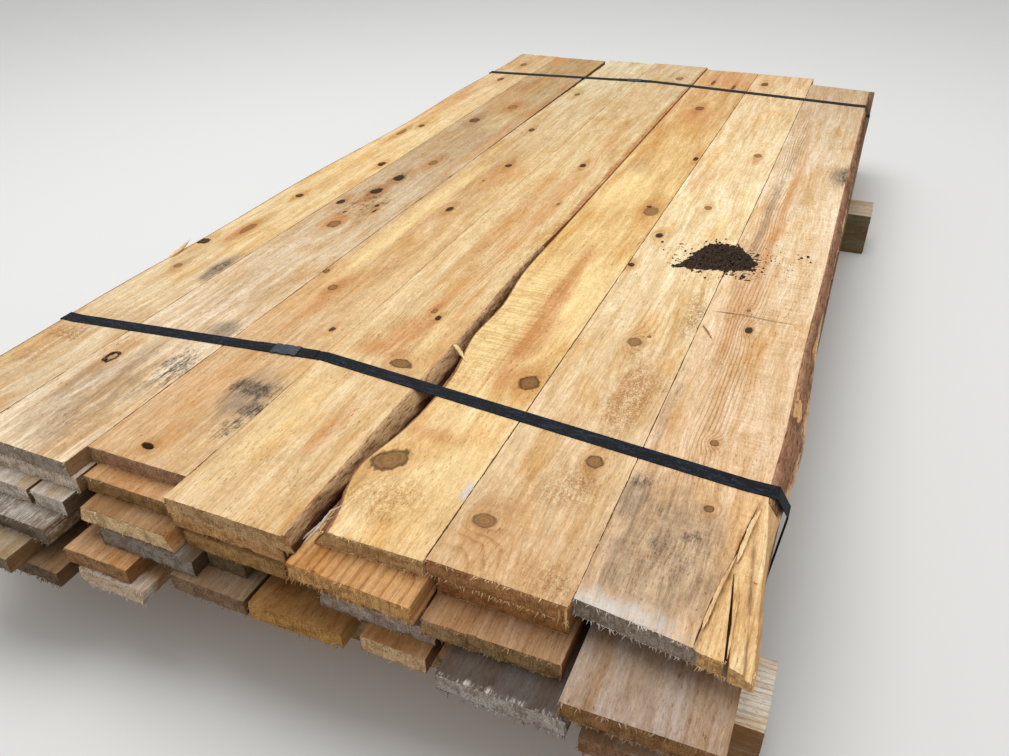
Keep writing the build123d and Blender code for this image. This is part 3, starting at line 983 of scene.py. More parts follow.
def fibre_matrix(start, aim, wide, long):
    """Puts a fibre at a point, aimed along a direction, with its own width and length."""
    turn = aim.to_track_quat("Z", "Y").to_matrix().to_4x4()
    return Matrix.Translation(start) @ turn @ Matrix.Diagonal((wide, wide * 0.6, long, 1))


def seam_fibres(node, chance, count):
    """Where fibres lie along the upper right arris of a top board, part over the seam."""
    hull = Hull(node, [])
    places = []
    for _ in range(count):
        y = hull.low.y + hull.size.y * chance.random() ** 1.5
        if not hull.low.y + 10 * MM < y < hull.high.y - 20 * MM:
            continue
        x = hull.outlines[1].span(y)[1]
        start = Vector((x - chance.uniform(0.2, 1.5) * MM, y, hull.high.z - 0.8 * MM))
        aim = Vector((chance.uniform(0.05, 0.35), chance.choice((-1, 1)), chance.uniform(-0.02, 0.10)))
        places.append(fibre_matrix(start, aim, chance.uniform(0.8, 2.0) * MM, chance.uniform(3, 11) * MM))
    return places


def join_copies(piece, model, places, chance, curl=0.0):
    """Joins copies of a small shape to a piece, each in its own place and with its own bend."""
    deselect()
    for place in places:
        copy = model.copy()
        copy.data = model.data.copy()
        bend = Vector((chance.uniform(-curl, curl), chance.uniform(-curl, curl), 0))
        for vertex in copy.data.vertices:
            vertex.co += bend * vertex.co.z ** 2
        copy.data.transform(place)
        bpy.context.collection.objects.link(copy)
        copy.select_set(True)
    piece.select_set(True)
    bpy.context.view_layer.objects.active = piece
    bpy.ops.object.join()


def blob(mark, across, along, seed):
    """How much of a stain covers a point: 1 in the middle, 0 outside, with a wavy edge."""
    far_across, far_along = (across - mark.across) / mark.wide, (along - mark.along) / mark.long
    if abs(far_across) > 1.6 or abs(far_along) > 1.6:
        return 0.0
    wavy = roughness_at(Vector((across, along * 0.5, 0)), 30, seed) * 0.3
    return min(max((1.25 - math.hypot(far_across, far_along) - wavy) / 0.8, 0.0), 1.0)


def torn_corner(across, along):
    """How far the torn corner of the right-hand top board lies below its face, in millimetres."""
    if along > tear_line[-1][0] or across < between(tear_line, along):
        return 0.0
    ridge = noise.noise(Vector((across / 5, along / 60, 3)))
    drop = tear_depth + ridge * tear_ridges
    if along < step_line[-1][0] and across > between(step_line, along):
        drop += step_depth * min(1.0, (step_line[-1][0] - along) / 90)
    return drop * min(1.0, (tear_line[-1][0] - along) / 25)


def shade_of(colour, factor):
    """A colour made lighter or darker."""
    return tuple(level * factor for level in colour)


def blend(first, second, part):
    """A colour that lies between two others."""
    return tuple(a + (b - a) * part for a, b in zip(first, second))


def add_attributes(mesh):
    """Gives a mesh the attributes that the cedar's shader reads, and returns their data by name."""
    for name, (kind, domain) in board_attributes.items():
        mesh.attributes.new(name, kind, domain)
    return {name: mesh.attributes[name].data for name in board_attributes}


class BoardPaint:
    """Gives a piece the attributes that its wood is coloured by."""

    def __init__(self, piece, label, node, seed, along_axis=1):
        self.mesh = piece.data
        self.label = label
        self.seed = seed
        low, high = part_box(node)
        self.size = (high - low) / MM
        self.reach = self.size[along_axis]
        self.places = []
        for vertex in self.mesh.vertices:
            place = (vertex.co - low) / MM
            self.places.append(place if along_axis == 1 else Vector((place.y, place.x, place.z)))
        self.data = add_attributes(self.mesh)
        self.chance = random.Random(label)
        look = bearer_looks.get(label) or looks.get(label, common_look)
        self.near, self.middle, self.far, self.end, self.side = (srgb(*shade) for shade in look)
        self.far_end = srgb(*self.chance.choice((look.end, common_look.end, *far_end_shades)))
        self.figure = self.choose_figure()
        self.knots = self.choose_knots()

    def choose_figure(self):
        """The growth rings, chosen at random where they aren't given."""
        if self.label in figures:
            return figures[self.label]
        uniform = self.chance.uniform
        across = uniform(0.1, 0.9) * self.size.x
        return Figure(uniform(0.06, 0.16), uniform(3.2, 5.5), across, -uniform(20, 110), 0.25)

    def choose_knots(self):
        """The knots, chosen at random where they aren't given."""
        if self.label in bearer_looks:
            return []
        if self.label in knots:
            return [Knot(*row) for row in knots[self.label]]
        uniform = self.chance.uniform
        chosen = []
        for _ in range(random_knots):
            wide = uniform(4, 12)
            across, along = uniform(0, self.size.x), uniform(0, self.reach)
            chosen.append(Knot(across, along, wide, wide * uniform(1.0, 1.6), uniform(0.3, 1.0)))
        return chosen

    def paint_points(self):
        """Stains, wear and rings."""
        data, figure = self.data, self.figure
        worn = [item.value for item in self.mesh.attributes["worn"].data]
        marks = [(kind, Stain(*row)) for kind, spots in stains.get(self.label, {}).items() for row in spots]
        for index, place in enumerate(self.places):
            amounts = dict.fromkeys(stain_kinds, 0.0)
            for kind, mark in marks:
                cover = blob(mark, place.x, place.y, self.seed) * mark.strength
                amounts[kind] = max(amounts[kind], cover)
            amounts["torn"] = max(amounts["torn"], worn[index] * 0.5)
            if self.label == split_board and torn_corner(place.x, place.y) > 0:
                amounts.update(torn_corner_stains)
            data["grain"][index].vector = place * MM
            data["pith"][index].vector = (figure.pith_across * MM, figure.pith_up * MM, self.seed)
            data["figure"][index].vector = (figure.depth + amounts["ring"] * 0.8, figure.gap * MM, figure.saw)
            data["stain"][index].color = [amounts[kind] for kind in ("warm", "pale", "grey", "chalk")]
            data["wear"][index].vector = [amounts[kind] for kind in ("soot", "torn", "sawn")]

    def paint_corners(self):
        """Tones, knots and what is a sawn end, which change sharply at an arris."""
        kinds = [item.value for item in self.mesh.attributes["kind"].data]
        fibre_parts = 0
        self.fibre_tone = self.side
        for face in self.mesh.polygons:
            kind = kinds[face.index]
            knot = self.nearest_knot(face) if kind == FACE and self.knots else None
            if kind == FIBRE:
                if fibre_parts % fibre_faces == 0:
                    self.fibre_tone = self.random_fibre_tone()
                fibre_parts += 1
            for corner, vertex in zip(face.loop_indices, face.vertices):
                place = self.places[vertex]
                self.data["tone"][corner].color = (*self.shade(place, kind), 1)
                self.data["cut"][corner].value = 1.0 if kind == END else 0.0
                self.data["knot"][corner].vector = knot_offset(place, knot) if knot else far_from_knots

    def random_fibre_tone(self):
        """Each frayed fibre has one tone, between the end's and the face's."""
        tone = blend(self.end, self.middle, self.chance.random())
        return shade_of(tone, self.chance.uniform(0.75, 1.3))

    def nearest_knot(self, face):
        """The knot that a face lies nearest to, in the knots' own sizes."""
        centre = sum((self.places[vertex] for vertex in face.vertices), Vector()) / len(face.vertices)

        def far_off(knot):
            return math.hypot((centre.x - knot.across) / knot.wide, (centre.y - knot.along) / knot.long)

        return min(self.knots, key=far_off)

    def shade(self, place, kind):
        """The tone of one corner of a face."""
        part = min(max(place.y / self.reach, 0.0), 1.0)
        if kind == FACE and part < 0.5:
            shade = blend(self.near, self.middle, part * 2)
        elif kind == FACE:
            shade = blend(self.middle, self.far, part * 2 - 1)
        elif kind == SIDE:
            shade = self.side
        elif kind == END:
            shade = self.end if part < 0.5 else self.far_end
        else:
            shade = self.fibre_tone
        if self.label == split_board and kind != SIDE:
            shade = torn_shade(place, shade, kind)
        return shade


def knot_offset(place, knot):
    """Where a point lies from a knot's centre, in its half-sizes, and how dark the knot is."""
    turn = math.radians(knot.turn)
    x, y = place.x - knot.across, place.y - knot.along
    return ((x * math.cos(turn) - y * math.sin(turn)) / knot.wide,
            (x * math.sin(turn) + y * math.cos(turn)) / knot.long, knot.dark)


def paint(piece, label, node, seed, along_axis=1):
    """Writes all the attributes of a board or a bearer."""
    painter = BoardPaint(piece, label, node, seed, along_axis)
    painter.paint_points()
    painter.paint_corners()


def torn_shade(place, shade, kind):
    """The colour of the right-hand top board, with brown lines of painted shadow along the torn edge and the
    step of its torn corner.
    """
    if place.y > tear_line[-1][0]:
        return shade
    waver = noise.noise(Vector((place.x / 7, place.y / 13, 6)))
    from_tear = place.x - between(tear_line, place.y) + waver * 3
    from_step = place.x - between(step_line, place.y) + waver * 2
    if kind == END:
        return srgb(*torn_end_colour) if from_tear > 3 and place.y < 40 else shade
    wood = srgb(*torn_wood_colour) if from_tear > 0 else shade
    # Painted shadow lines along the torn edge and along the step
    broken = max(1 - abs(from_tear - 1) / 3.4, 1 - abs(from_step) / 3.4, 0)
    strength = broken * min(max(0.6 + noise.noise(Vector((place.y / 45, place.x / 30, 2))) * 1.1, 0), 1)
    return blend(wood, srgb(*torn_shadow_line_colour), strength)


def smooth_by_angle(piece, degrees):
    """Rounded where it is nearly flat, with sharp edges kept."""
    pick(piece)
    bpy.ops.object.shade_smooth_by_angle(angle=math.radians(degrees))


def turn_out(piece):
    """Points a piece's faces outwards."""
    pick(piece)
    bpy.ops.object.mode_set(mode="EDIT")
    bpy.ops.mesh.select_all(action="SELECT")
    bpy.ops.mesh.normals_make_consistent(inside=False)
    bpy.ops.object.mode_set(mode="OBJECT")


class OBJECT_OT_cedar_boards(bpy.types.Operator):
    """Model every board of the bundle, with worn arrises, rough ends, frayed fibres and painted stains"""

    bl_idname = "object.cedar_boards"
    bl_label = "Boards"

    def execute(self, context):
        settings = context.scene.cedar
        material = CedarShader(settings).build()
        fibre = frayed_fibre()
        for seed, node in enumerate(sorted(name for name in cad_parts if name.startswith("board"))):
            label = node.removeprefix("board_")
            board = self.cut_board(node, label, seed, settings)
            chance = random.Random(node)
            share = frayed_ends.get(label, 0.6)
            places = fibre_places(node, chance, settings, share)
            if label in seam_counts:
                places += seam_fibres(node, chance, seam_counts[label])
            join_copies(board, fibre, places, chance, fibre_curl)
            paint(board, label, node, seed)
            board.data.materials.append(material)
            smooth_by_angle(board, 40)
            keep(board, "cedar_" + label, "cedar", node)
        bpy.data.objects.remove(fibre)
        return {"FINISHED"}

    def cut_board(self, node, label, seed, settings):
        """One board's own mesh, roughened."""
        low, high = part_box(node)
        size = high - low
        on_top = label.startswith("1")
        gaps = split_gaps if label == split_board else top_gaps if on_top else lower_gaps
        along_rows = rows(size.y, gaps.first, gaps.last, gaps.growth)
        if on_top:
            along_rows = even(along_rows)
        if label == split_board:
            along_rows = self.rows_at_split(along_rows)
        cuts = [rows(size.x, gaps.across, gaps.across), along_rows, rows(size.z, gaps.up, gaps.up)]
        hull = Hull(node, cuts[1])

        def place(across, along, up):
            point = hull.place(across, along, up)
            wavy = 0.6 + roughness_at(Vector((0, along, 0)), 14 * MM, seed + across) * 0.8
            bulge = seam_bulge * MM * wavy
            if across == 0 and label in seams_on_left:
                point.x -= bulge
            if across == size.x and label in seam_counts:
                point.x += bulge
            if label == split_board and along < split_root * MM - 1e-6:
                edge = between([(0, split_left[0]), (split_root, split_left[1])], along / MM)
                point.x = min(point.x, low.x + edge * MM)
            return point

        board, steps = block_from(cuts, place)
        counts = [len(places) - 1 for places in cuts]
        mark_kinds(board, steps, counts)
        self.sink(board, label, low, high)
        roughen(board, steps, cuts, seed, settings)
        if label == split_board:
            pick(board, self.sliver(node, seed, settings))
            bpy.ops.object.join()
        return board

    @staticmethod
    def rows_at_split(places):
        """Moves the two rows next to the root of the split onto it."""
        first = next(index for index, place in enumerate(places) if place > split_root * MM)
        places[first - 1] = (split_root - 2) * MM
        places[first] = split_root * MM
        return places

    @staticmethod
    def sink(board, label, low, high):
        """Lowers a face where a knot has fallen out or a corner is torn off."""
        for vertex in board.data.vertices:
            across, along = (vertex.co.x - low.x) / MM, (vertex.co.y - low.y) / MM
            part = (vertex.co.z - low.z) / (high.z - low.z)
            if label == split_board:
                vertex.co.z -= torn_corner(across, along) * MM * part
            if label == hole_board and part > 0.99:
                hole = math.hypot((across - hole_across) / hole_wide, (along - hole_along) / hole_long)
                vertex.co.z -= hole_depth * MM * min(max((1.15 - hole) / 0.4, 0.0), 1.0)

    @staticmethod
    def sliver(node, seed, settings):
        """The sliver on the far side of the split, joined to the board at its root."""
        low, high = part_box(node)
        along_rows = even(rows(sliver_length * MM, 3, 3))
        cuts = [rows(sliver_width * MM, 2, 2), along_rows, rows(high.z - low.z, 4, 4)]
        hull = Hull(node, cuts[1])
        for distance in along_rows:
            part = min((low.y + distance - hull.low.y) / hull.size.y, 1)
            hull.spans[distance] = [hull.edges_at(outline, part) for outline in hull.outlines]

        def place(across, along, up):
            left = low.x + between([(0, split_right[0]), (split_root, split_right[1])], along / MM) * MM
            right = hull.edge(1, along, up / cuts[2][-1])
            inside = min(max((along / MM - split_root) / 8, 0), 1) * 0.9 * MM
            part = across / cuts[0][-1]
            x = left + (right - inside - left) * part
            y = low.y + along - 6 * MM * part * (1 - along / cuts[1][-1])
            drop = torn_corner((x - low.x) / MM, max(along / MM, 1)) * MM * up / cuts[2][-1]
            return Vector((x, y, low.z + inside + (up - drop) * (1 - 2 * inside / cuts[2][-1])))

        sliver, steps = block_from(cuts, place)
        mark_kinds(sliver, steps, [len(places) - 1 for places in cuts])
        roughen(sliver, steps, cuts, seed + 1, settings)
        return sliver


# The gaps between the rows of a board's mesh, in millimetres: across it, first and last along it,
# how each of those is larger than the one before, and up it
Gaps = namedtuple("Gaps", "across first last growth up")
split_gaps = Gaps(3.2, 2.5, 20, 1.025, 4.5)
top_gaps = Gaps(4.5, 2.5, 20, 1.025, 4.5)
lower_gaps = Gaps(6, 4, 150, 1.12, 8)

# How thickly frayed fibres stand at the near end of some boards, where 1 is one every fibre gap
frayed_ends = {
    "1_a": 1.2, "1_b": 1.6, "1_c": 0.8, "1_d": 0.6, "1_e": 1.8, "1_f": 2.2, "1_g": 2.4,
    "2_b": 1.2, "2_e": 3.0, "2_f": 1.6, "3_g": 2.4, "3_h": 2.6, "4_b": 3.0, "4_g": 2.0,
    "5_e": 1.6, "6_b": 2.4, "6_c": 2.0,
}
# How many fibres lie along the right arris of a top board, where a close seam is. Close seams bulge a little.
seam_counts = {"1_a": 60, "1_b": 60, "1_c": 60, "1_e": 90, "1_f": 110}
seams_on_left = ("1_b", "1_c", "1_d", "1_f", "1_g")
seam_bulge = 0.9
# A fibre has three rows of four faces, and two ends
fibre_faces = 14
fibre_curl = 0.4


bearer_seed = 70


class OBJECT_OT_cedar_bearers(bpy.types.Operator):
    """Model the two square timbers that the boards lie across"""

    bl_idname = "object.cedar_bearers"
    bl_label = "Bearers"

    def execute(self, context):
        settings = context.scene.cedar
        material = bpy.data.materials["Rough-sawn cedar"]
        for seed, node in enumerate(bearer_looks, bearer_seed):
            low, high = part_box(node)
            size = high - low
            gaps = rows(size.x, 4, 60, 1.08)
            cuts = [[size.x - place for place in reversed(gaps)], rows(size.y, 6, 6), rows(size.z, 6, 6)]
            bearer, steps = block_from(cuts, lambda x, y, z: low + Vector((x, y, z)))
            mark_kinds(bearer, steps, [len(places) - 1 for places in cuts], 0, 1)
            roughen(bearer, steps, cuts, seed, settings, 0)
            paint(bearer, node, node, seed, 0)
            bearer.data.materials.append(material)
            smooth_by_angle(bearer, 40)
            keep(bearer, "cedar_" + node, "cedar", node)
        return {"FINISHED"}


# Strips of bark: the board, its left (0) or right (1) edge, where it starts and stops along it,
# its colours at the lower edge, in the middle and at the upper edge, how much of it is left, and how far up
# its lower colour reaches
Strip = namedtuple("Strip", "label side start stop lower middle upper cover edge", defaults=[0.2])
bark_strips = [
    Strip("1_a", 0, 0, 2430, (96, 66, 44), (120, 84, 58), (150, 116, 80), 0.55),
    # The dark lower colour of the strip on 1_d is partly painted shade, down in the gap next to 1_e.
    Strip("1_d", 1, 4, 900, (74, 46, 32), (164, 128, 92), (198, 162, 120), 1.0, 0.34),
    Strip("1_e", 0, 2, 2430, (84, 54, 38), (128, 88, 60), (160, 116, 78), 0.9),
    Strip("1_g", 1, 262, 2300, (206, 172, 138), (116, 76, 54), (172, 130, 100), 0.84),
    Strip("7_a", 0, 4, 2400, (90, 62, 42), (104, 76, 54), (120, 90, 62), 0.6),
    Strip("7_g", 1, 4, 2420, (90, 62, 42), (104, 76, 54), (120, 90, 62), 0.6),
]
# The gap between a strip's rows along it, the most of these, and how many it has up it
bark_gap, most_bark_rows, bark_rows_up = 8, 190, 10


class OBJECT_OT_cedar_bark(bpy.types.Operator):
    """Lay strips of stringy bark on the waney edges"""

    bl_idname = "object.cedar_bark"
    bl_label = "Bark"

    def execute(self, context):
        depth = context.scene.cedar.bark_depth
        material = bark_material()
        for seed, strip in enumerate(bark_strips):
            node = "board_" + strip.label
            hull = Hull(node, [])
            long = strip.stop - strip.start
            count = int(long / bark_gap)
            count = min(count + count % 2, most_bark_rows)
            along = [(strip.start + long * row / count) * MM for row in range(count + 1)]
            for distance in along:
                part = distance / hull.size.y
                hull.spans[distance] = [hull.edges_at(outline, part) for outline in hull.outlines]
            cuts = [[0.0, 1.0], along, shares(bark_rows_up)]
            outward = 1 if strip.side else -1

            def place(out, along, up):
                x = hull.edge(strip.side, along, up)
                y = hull.low.y + max(along, 2 * MM)
                point = Vector((x, y, hull.low.z + up * hull.size.z))
                fine = Vector((0, y * 0.22, point.z * 1.6))
                ridge = abs(roughness_at(fine, 7 * MM, seed)) * 1.4 + roughness_at(fine, 3 * MM, seed) * 0.5
                patchy = roughness_at(Vector((seed, y * 0.3, point.z)), 26 * MM, seed) * 0.9
                thick = min(max((strip.cover - 0.5 + patchy) * 4, -0.4), 1.0) * (0.35 + ridge)
                rim = min(1.0, 6 * up, 6 * (1 - up), (along - strip.start * MM) / (12 * MM) + 0.3)
                x += outward * (depth * thick * rim if out else -1.5 * MM)
                return Vector((x, y, point.z))

            bark, steps = block_from(cuts, place)
            self.colour(bark, steps, strip, cuts)
            if not strip.side:
                turn_out(bark)
            bark.data.materials.append(material)
            smooth_by_angle(bark, 60)
            keep(bark, "bark_" + strip.label, "bark")
        return {"FINISHED"}

    @staticmethod
    def colour(bark, steps, strip, cuts):
        """The strip's tones, from its lower edge up."""
        mesh = bark.data
        mesh.attributes.new("grain", "FLOAT_VECTOR", "POINT")
        mesh.attributes.new("tone", "FLOAT_COLOR", "POINT")
        grain, tone = mesh.attributes["grain"].data, mesh.attributes["tone"].data
        lower, middle, upper = (srgb(*shade) for shade in (strip.lower, strip.middle, strip.upper))
        for index, vertex in enumerate(mesh.vertices):
            part = cuts[2][steps[index][2]] + roughness_at(Vector((0, vertex.co.y, 0)), 30 * MM, 3) * 0.12
            # Below its edge a strip takes its lower colour; on 1_d this is partly painted shade in the gap
            # next to 1_e
            dark_part = min(max((strip.edge + 0.08 - part) / 0.16, 0), 1)
            shade = blend(blend(middle, upper, min(max(part, 0), 1)), lower, dark_part)
            grain[index].vector = vertex.co
            tone[index].color = (*shade, 1)


# A splinter: its board, its points (across, along, up), its width and height, and its colour
Splinter = namedtuple("Splinter", "label points wide high shade")
splinters = [
    Splinter("1_a", [(12, 560, -0.5), (10, 600, 2), (4, 636, 8)], 7, 3, (220, 188, 142)),
    Splinter("1_e", [(-4, 452, 0.5), (12, 436, 3), (37, 412, 1)], 6, 3, (240, 214, 166)),
    Splinter("1_e", [(27, -24, -3), (33, 2, 2), (31, 30, 3), (38, 52, 1)], 3, 2, (190, 174, 154)),
    Splinter("1_e", [(20, -16, -6), (30, 10, 1), (42, 34, 1)], 2.5, 1.6, (168, 152, 134)),
    Splinter("1_g", [(4, 672, 0.8), (16, 652, 2), (30, 630, 0.8)], 2.4, 1.4, (170, 130, 88)),
    Splinter("1_g", [(10, 728, 0.6), (60, 732, 1.2), (110, 729, 1.2), (158, 731, 0.4)],
             1.0, 0.5, (140, 98, 64)),
    Splinter("1_f", [(176, 2, -4), (180, -8, -9), (183, -16, -20)], 3, 2, (190, 150, 104)),
    Splinter("1_f", [(168, 3, -6), (171, -5, -14), (169, -8, -26)], 2.2, 1.6, (176, 136, 92)),
    Splinter("1_g", [(140, 34, -1.5), (146, 92, 0.6), (155, 158, -0.6)], 4, 2.2, (238, 202, 152)),
    Splinter("1_g", [(157, 148, -2), (162, 205, 0.8), (170, 256, -0.6)], 5, 2.6, (240, 208, 158)),
    # These two dark strips are painted shadow lines of the cracks along the torn corner, not splinters.
    Splinter("1_g", [(137, 12, -0.6), (141, 70, 0.1), (151, 142, -0.2)], 1.6, 0.7, (84, 50, 30)),
    Splinter("1_g", [(153, 150, -0.6), (158, 200, 0.1), (164, 250, -0.2)], 1.8, 0.7, (84, 50, 30)),
    Splinter("1_g", [(172, 10, -4), (168, 90, -2.5), (163, 128, -3)], 2.4, 2, (224, 184, 132)),
]
splinter_rows = 24


class OBJECT_OT_cedar_splinters(bpy.types.Operator):
    """Lay the loose splinters on the boards, and two dark strips of painted shadow along the cracks of the
    torn corner
    """

    bl_idname = "object.cedar_splinters"
    bl_label = "Splinters"

    def execute(self, context):
        material = bpy.data.materials["Rough-sawn cedar"]
        for number, splinter in enumerate(splinters, 1):
            route = [on_board(splinter.label, *point) for point in splinter.points]
            cuts = [[-0.5, -0.2, 0.2, 0.5], shares(splinter_rows), [0.0, 0.5, 1.0]]

            def place(across, along, up):
                reach = along * (len(route) - 1)
                index = min(int(reach), len(route) - 2)
                start, end = route[index], route[index + 1]
                point = start + (end - start) * (reach - index)
                sideways = Vector((end.y - start.y, start.x - end.x, 0)).normalized()
                taper = min(1.0, 8 * along + 0.15, 2.4 * (1 - along) + 0.1)
                rough = 1 + roughness_at(point, 5 * MM, number + across * 3) * 0.5
                return point + sideways * (across * splinter.wide * MM * taper * rough) + Vector(
                    (0, 0, up * splinter.high * MM * taper * rough))

            piece, steps = block_from(cuts, place)
            mark_kinds(piece, steps, [len(places) - 1 for places in cuts])
            turn_out(piece)
            self.colour(piece, splinter, number)
            piece.data.materials.append(material)
            smooth_by_angle(piece, 50)
            keep(piece, f"splinter_{number}", "cedar")
        return {"FINISHED"}

    @staticmethod
    def colour(piece, splinter, seed):
        """One tone all over, with fine rings and no stains or knots."""
        mesh = piece.data
        data = add_attributes(mesh)
        for index, vertex in enumerate(mesh.vertices):
            data["grain"][index].vector = vertex.co
            data["stain"][index].color = (0, 0, 0, 0)
            data["pith"][index].vector = (0, -0.5, seed)
            data["figure"][index].vector = (0.1, 0.004, 0)
        for corner in range(len(mesh.loops)):
            data["tone"][corner].color = (*srgb(*splinter.shade), 1)
            data["knot"][corner].vector = far_from_knots


# The clod of soil: its outline on board 1_f (across, along), and loose crumbs (board, across, along, size)
clod_outline = [(78, 868), (98, 896), (112, 950), (128, 992), (158, 1002), (190, 998), (208, 972), (232, 938),
                (222, 905), (160, 882), (125, 874)]
crumbs = [("1_f", 48, 935, 4), ("1_f", 59, 924, 3), ("1_g", 123, 995, 4), ("1_g", 146, 989, 5),
          ("1_g", 115, 911, 3), ("1_g", 86, 1015, 3), ("1_g", 128, 1002, 7), ("1_g", 139, 1012, 8),
          ("1_f", 70, 880, 3), ("1_f", 92, 925, 3), ("1_g", 66, 960, 4), ("1_g", 72, 905, 3),
          ("1_f", 140, 850, 2), ("1_g", 30, 1000, 3), ("1_f", 108, 985, 2), ("1_g", 150, 930, 3)]
clod_margin = 8
clod_rows = (60, 50)
soil_seed = 5
# Random crumbs: the board, the middle and spread of the heap, the smallest and largest, and how many
Scatter = namedtuple("Scatter", "label across wide along long smallest largest count")
scatters = [Scatter("1_f", 160, 34, 930, 36, 2, 8, 150), Scatter("1_g", 70, 34, 970, 50, 1.2, 3.5, 40)]


class OBJECT_OT_cedar_soil(bpy.types.Operator):
    """Drop the clod of dried soil and its crumbs on the boards"""

    bl_idname = "object.cedar_soil"
    bl_label = "Soil"

    def execute(self, context):
        xs, ys = zip(*clod_outline)
        left, right = min(xs) - clod_margin, max(xs) + clod_margin
        near, far = min(ys) - clod_margin, max(ys) + clod_margin
        across_rows, along_rows = clod_rows
        cuts = [[left + (right - left) * row / across_rows for row in range(across_rows + 1)],
                [near + (far - near) * row / along_rows for row in range(along_rows + 1)], [0.0, 1.0]]

        def place(across, along, up):
            inside = self.depth_inside(across, along)
            lumps = abs(noise.noise(Vector((across / 12, along / 12, 0)))) * 12
            lumps += abs(noise.noise(Vector((across / 4.5, along / 4.5, 4)))) * 6
            rim = inside + noise.noise(Vector((across / 6, along / 6, 8))) * 7
            height = min(9.0, min(1.0, max(rim, -1) / 9) * (0.6 + lumps * 1.3))
            return on_board("1_f", across, along, height if up else -2.5)

        clod, _ = block_from(cuts, place)
        crumb = self.crumb()
        chance = random.Random(soil_seed)
        places = []
        loose = []
        for scatter in scatters:
            for _ in range(scatter.count):
                across = chance.gauss(scatter.across, scatter.wide)
                along = chance.gauss(scatter.along, scatter.long)
                size = chance.uniform(scatter.smallest, scatter.largest)
                loose.append((scatter.label, across, along, size))
        for label, across, along, size in crumbs + loose:
            turn = Matrix.Rotation(chance.uniform(0, 6), 4, "Z")
            scale = Matrix.Diagonal((size * MM, size * MM * chance.uniform(0.6, 1), size * MM * 0.6, 1))
            inside = self.depth_inside(across, along) if label == "1_f" else -1
            up = size * 0.15 + min(max(inside, 0), 9) * 0.6
            places.append(Matrix.Translation(on_board(label, across, along, up)) @ turn @ scale)
        join_copies(clod, crumb, places, chance)
        bpy.data.objects.remove(crumb)
        clod.data.materials.append(soil_material(context.scene.cedar))
        smooth_by_angle(clod, 50)
        keep(clod, "soil_clod", "soil")
        return {"FINISHED"}

    @staticmethod
    def depth_inside(across, along):
        """How far a point lies inside the clod's outline: below 0 outside it."""
        nearest, inside = 1e9, False
        for (x0, y0), (x1, y1) in zip(clod_outline, clod_outline[1:] + clod_outline[:1]):
            run = Vector((x1 - x0, y1 - y0))
            offset = Vector((across - x0, along - y0))
            part = min(max(offset.dot(run) / run.length_squared, 0), 1)
            nearest = min(nearest, (offset - run * part).length)
            if (y0 > along) != (y1 > along) and across < (x1 - x0) * (along - y0) / (y1 - y0) + x0:
                inside = not inside
        return nearest if inside else -nearest

    @staticmethod
    def crumb():
        """One crumb of soil, one metre across, with an uneven surface."""
        deselect()
        bpy.ops.mesh.primitive_ico_sphere_add(subdivisions=2, radius=0.5, location=(0, 0, 0))
        crumb = bpy.context.object
        bpy.ops.object.mode_set(mode="EDIT")
        bpy.ops.mesh.select_all(action="SELECT")
        bpy.ops.transform.resize(value=(1, 0.8, 0.7))
        bpy.ops.object.mode_set(mode="OBJECT")
        for vertex in crumb.data.vertices:
            vertex.co *= 1 + 0.5 * noise.noise(vertex.co * 3)
        return crumb


class OBJECT_OT_cedar_straps(bpy.types.Operator):
    """Give the steel straps and their seals a scuffed black finish, with painted sheen in the scuffs"""

    bl_idname = "object.cedar_straps"
    bl_label = "Straps"

    def execute(self, context):
        settings = context.scene.cedar_strap
        strap = strapping_material("Black strapping", settings.steel, settings.scuff_and_sheen, settings.gloss)
        seal = strapping_material("Rubbed seal", settings.seal_steel, settings.seal_scuff_and_sheen, settings.gloss)
        for kind, material in (("strap", strap), ("seal", seal)):
            for place in ("front", "rear"):
                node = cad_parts[f"{kind}_{place}"]
                node.data.materials.clear()
                node.data.materials.append(material)
        return {"FINISHED"}


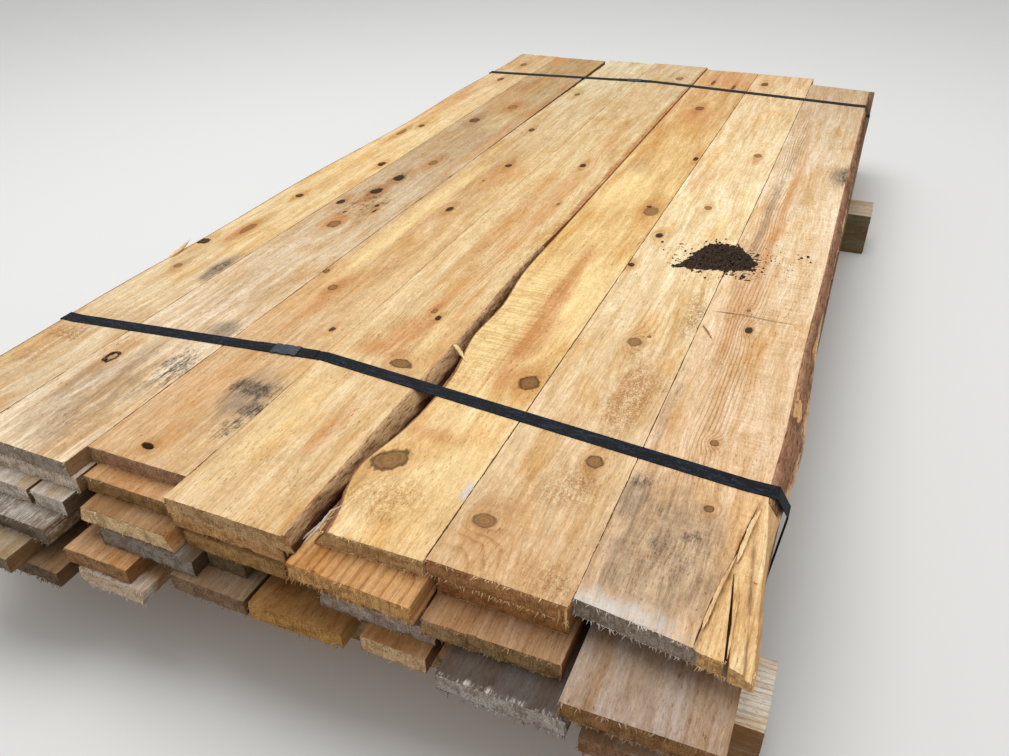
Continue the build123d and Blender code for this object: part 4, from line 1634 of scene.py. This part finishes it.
class OBJECT_OT_cedar_stage(bpy.types.Operator):
    """Set up the camera, the pale floor and the soft light"""

    bl_idname = "object.cedar_stage"
    bl_label = "Stage"

    camera_place = Vector((0.5938, -1.7438, 1.0180))
    camera_yaw = math.radians(23.98)
    camera_pitch = math.radians(33.92)
    camera_roll = math.radians(1.06)
    key_place = Vector((-0.7, 0.2, 4.6))
    key_size = 4.0
    floor_size = 60

    def execute(self, context):
        settings = context.scene.cedar_stage
        self.add_camera(context, settings)
        self.add_floor(settings)
        self.add_light(context, settings)
        context.scene.view_settings.view_transform = "Standard"
        return {"FINISHED"}

    def add_camera(self, context, settings):
        deselect()
        bpy.ops.object.camera_add()
        camera = context.object
        camera.name = "camera"
        camera.data.lens = settings.focal_length
        camera.matrix_world = (
            Matrix.Translation(self.camera_place)
            @ Matrix.Rotation(self.camera_yaw, 4, "Z")
            @ Matrix.Rotation(math.pi / 2 - self.camera_pitch, 4, "X")
            @ Matrix.Rotation(-self.camera_roll, 4, "Z")
        )
        context.scene.camera = camera

    def add_floor(self, settings):
        deselect()
        bpy.ops.mesh.primitive_plane_add(size=self.floor_size, location=(0, 0, 0))
        floor = bpy.context.object
        floor.name = "floor"
        shader = Shader("Plain floor")
        floor.data.materials.append(shader.finish(settings.floor, 0.9))

    def add_light(self, context, settings):
        world = bpy.data.worlds.new("Soft sky")
        world.use_nodes = True
        background = world.node_tree.nodes["Background"]
        background.inputs["Color"].default_value = (1, 1, 1, 1)
        background.inputs["Strength"].default_value = settings.sky_strength
        context.scene.world = world
        deselect()
        bpy.ops.object.light_add(type="AREA", location=self.key_place)
        lamp = context.object
        lamp.name = "key"
        lamp.data.shape = "DISK"
        lamp.data.size = self.key_size
        lamp.data.energy = settings.key_power
        lamp.rotation_euler = (-self.key_place).to_track_quat("-Z", "Y").to_euler()


class VIEW3D_PT_cedar_bundle(bpy.types.Panel):
    """The pieces of the bundle, in the order in which they are made"""

    bl_label = "Cedar Board Bundle"
    bl_space_type = "VIEW_3D"
    bl_region_type = "UI"
    bl_category = "Cedar Boards"

    def draw(self, context):
        for operator in operators:
            self.layout.operator(operator.bl_idname)


operators = (
    OBJECT_OT_cedar_stage,
    OBJECT_OT_cedar_boards,
    OBJECT_OT_cedar_bearers,
    OBJECT_OT_cedar_bark,
    OBJECT_OT_cedar_splinters,
    OBJECT_OT_cedar_soil,
    OBJECT_OT_cedar_straps,
)
settings_groups = {"cedar": CedarSettings, "cedar_strap": StrapSettings, "cedar_stage": StageSettings}
classes = (*settings_groups.values(), *operators, VIEW3D_PT_cedar_bundle)


def register():
    for item in classes:
        bpy.utils.register_class(item)
    for name, group in settings_groups.items():
        setattr(bpy.types.Scene, name, PointerProperty(type=group))


def unregister():
    for name in settings_groups:
        delattr(bpy.types.Scene, name)
    for item in reversed(classes):
        bpy.utils.unregister_class(item)


def main():
    register()
    for operator in operators:
        group, name = operator.bl_idname.split(".")
        getattr(getattr(bpy.ops, group), name)()


if __name__ == "__main__":
    main()
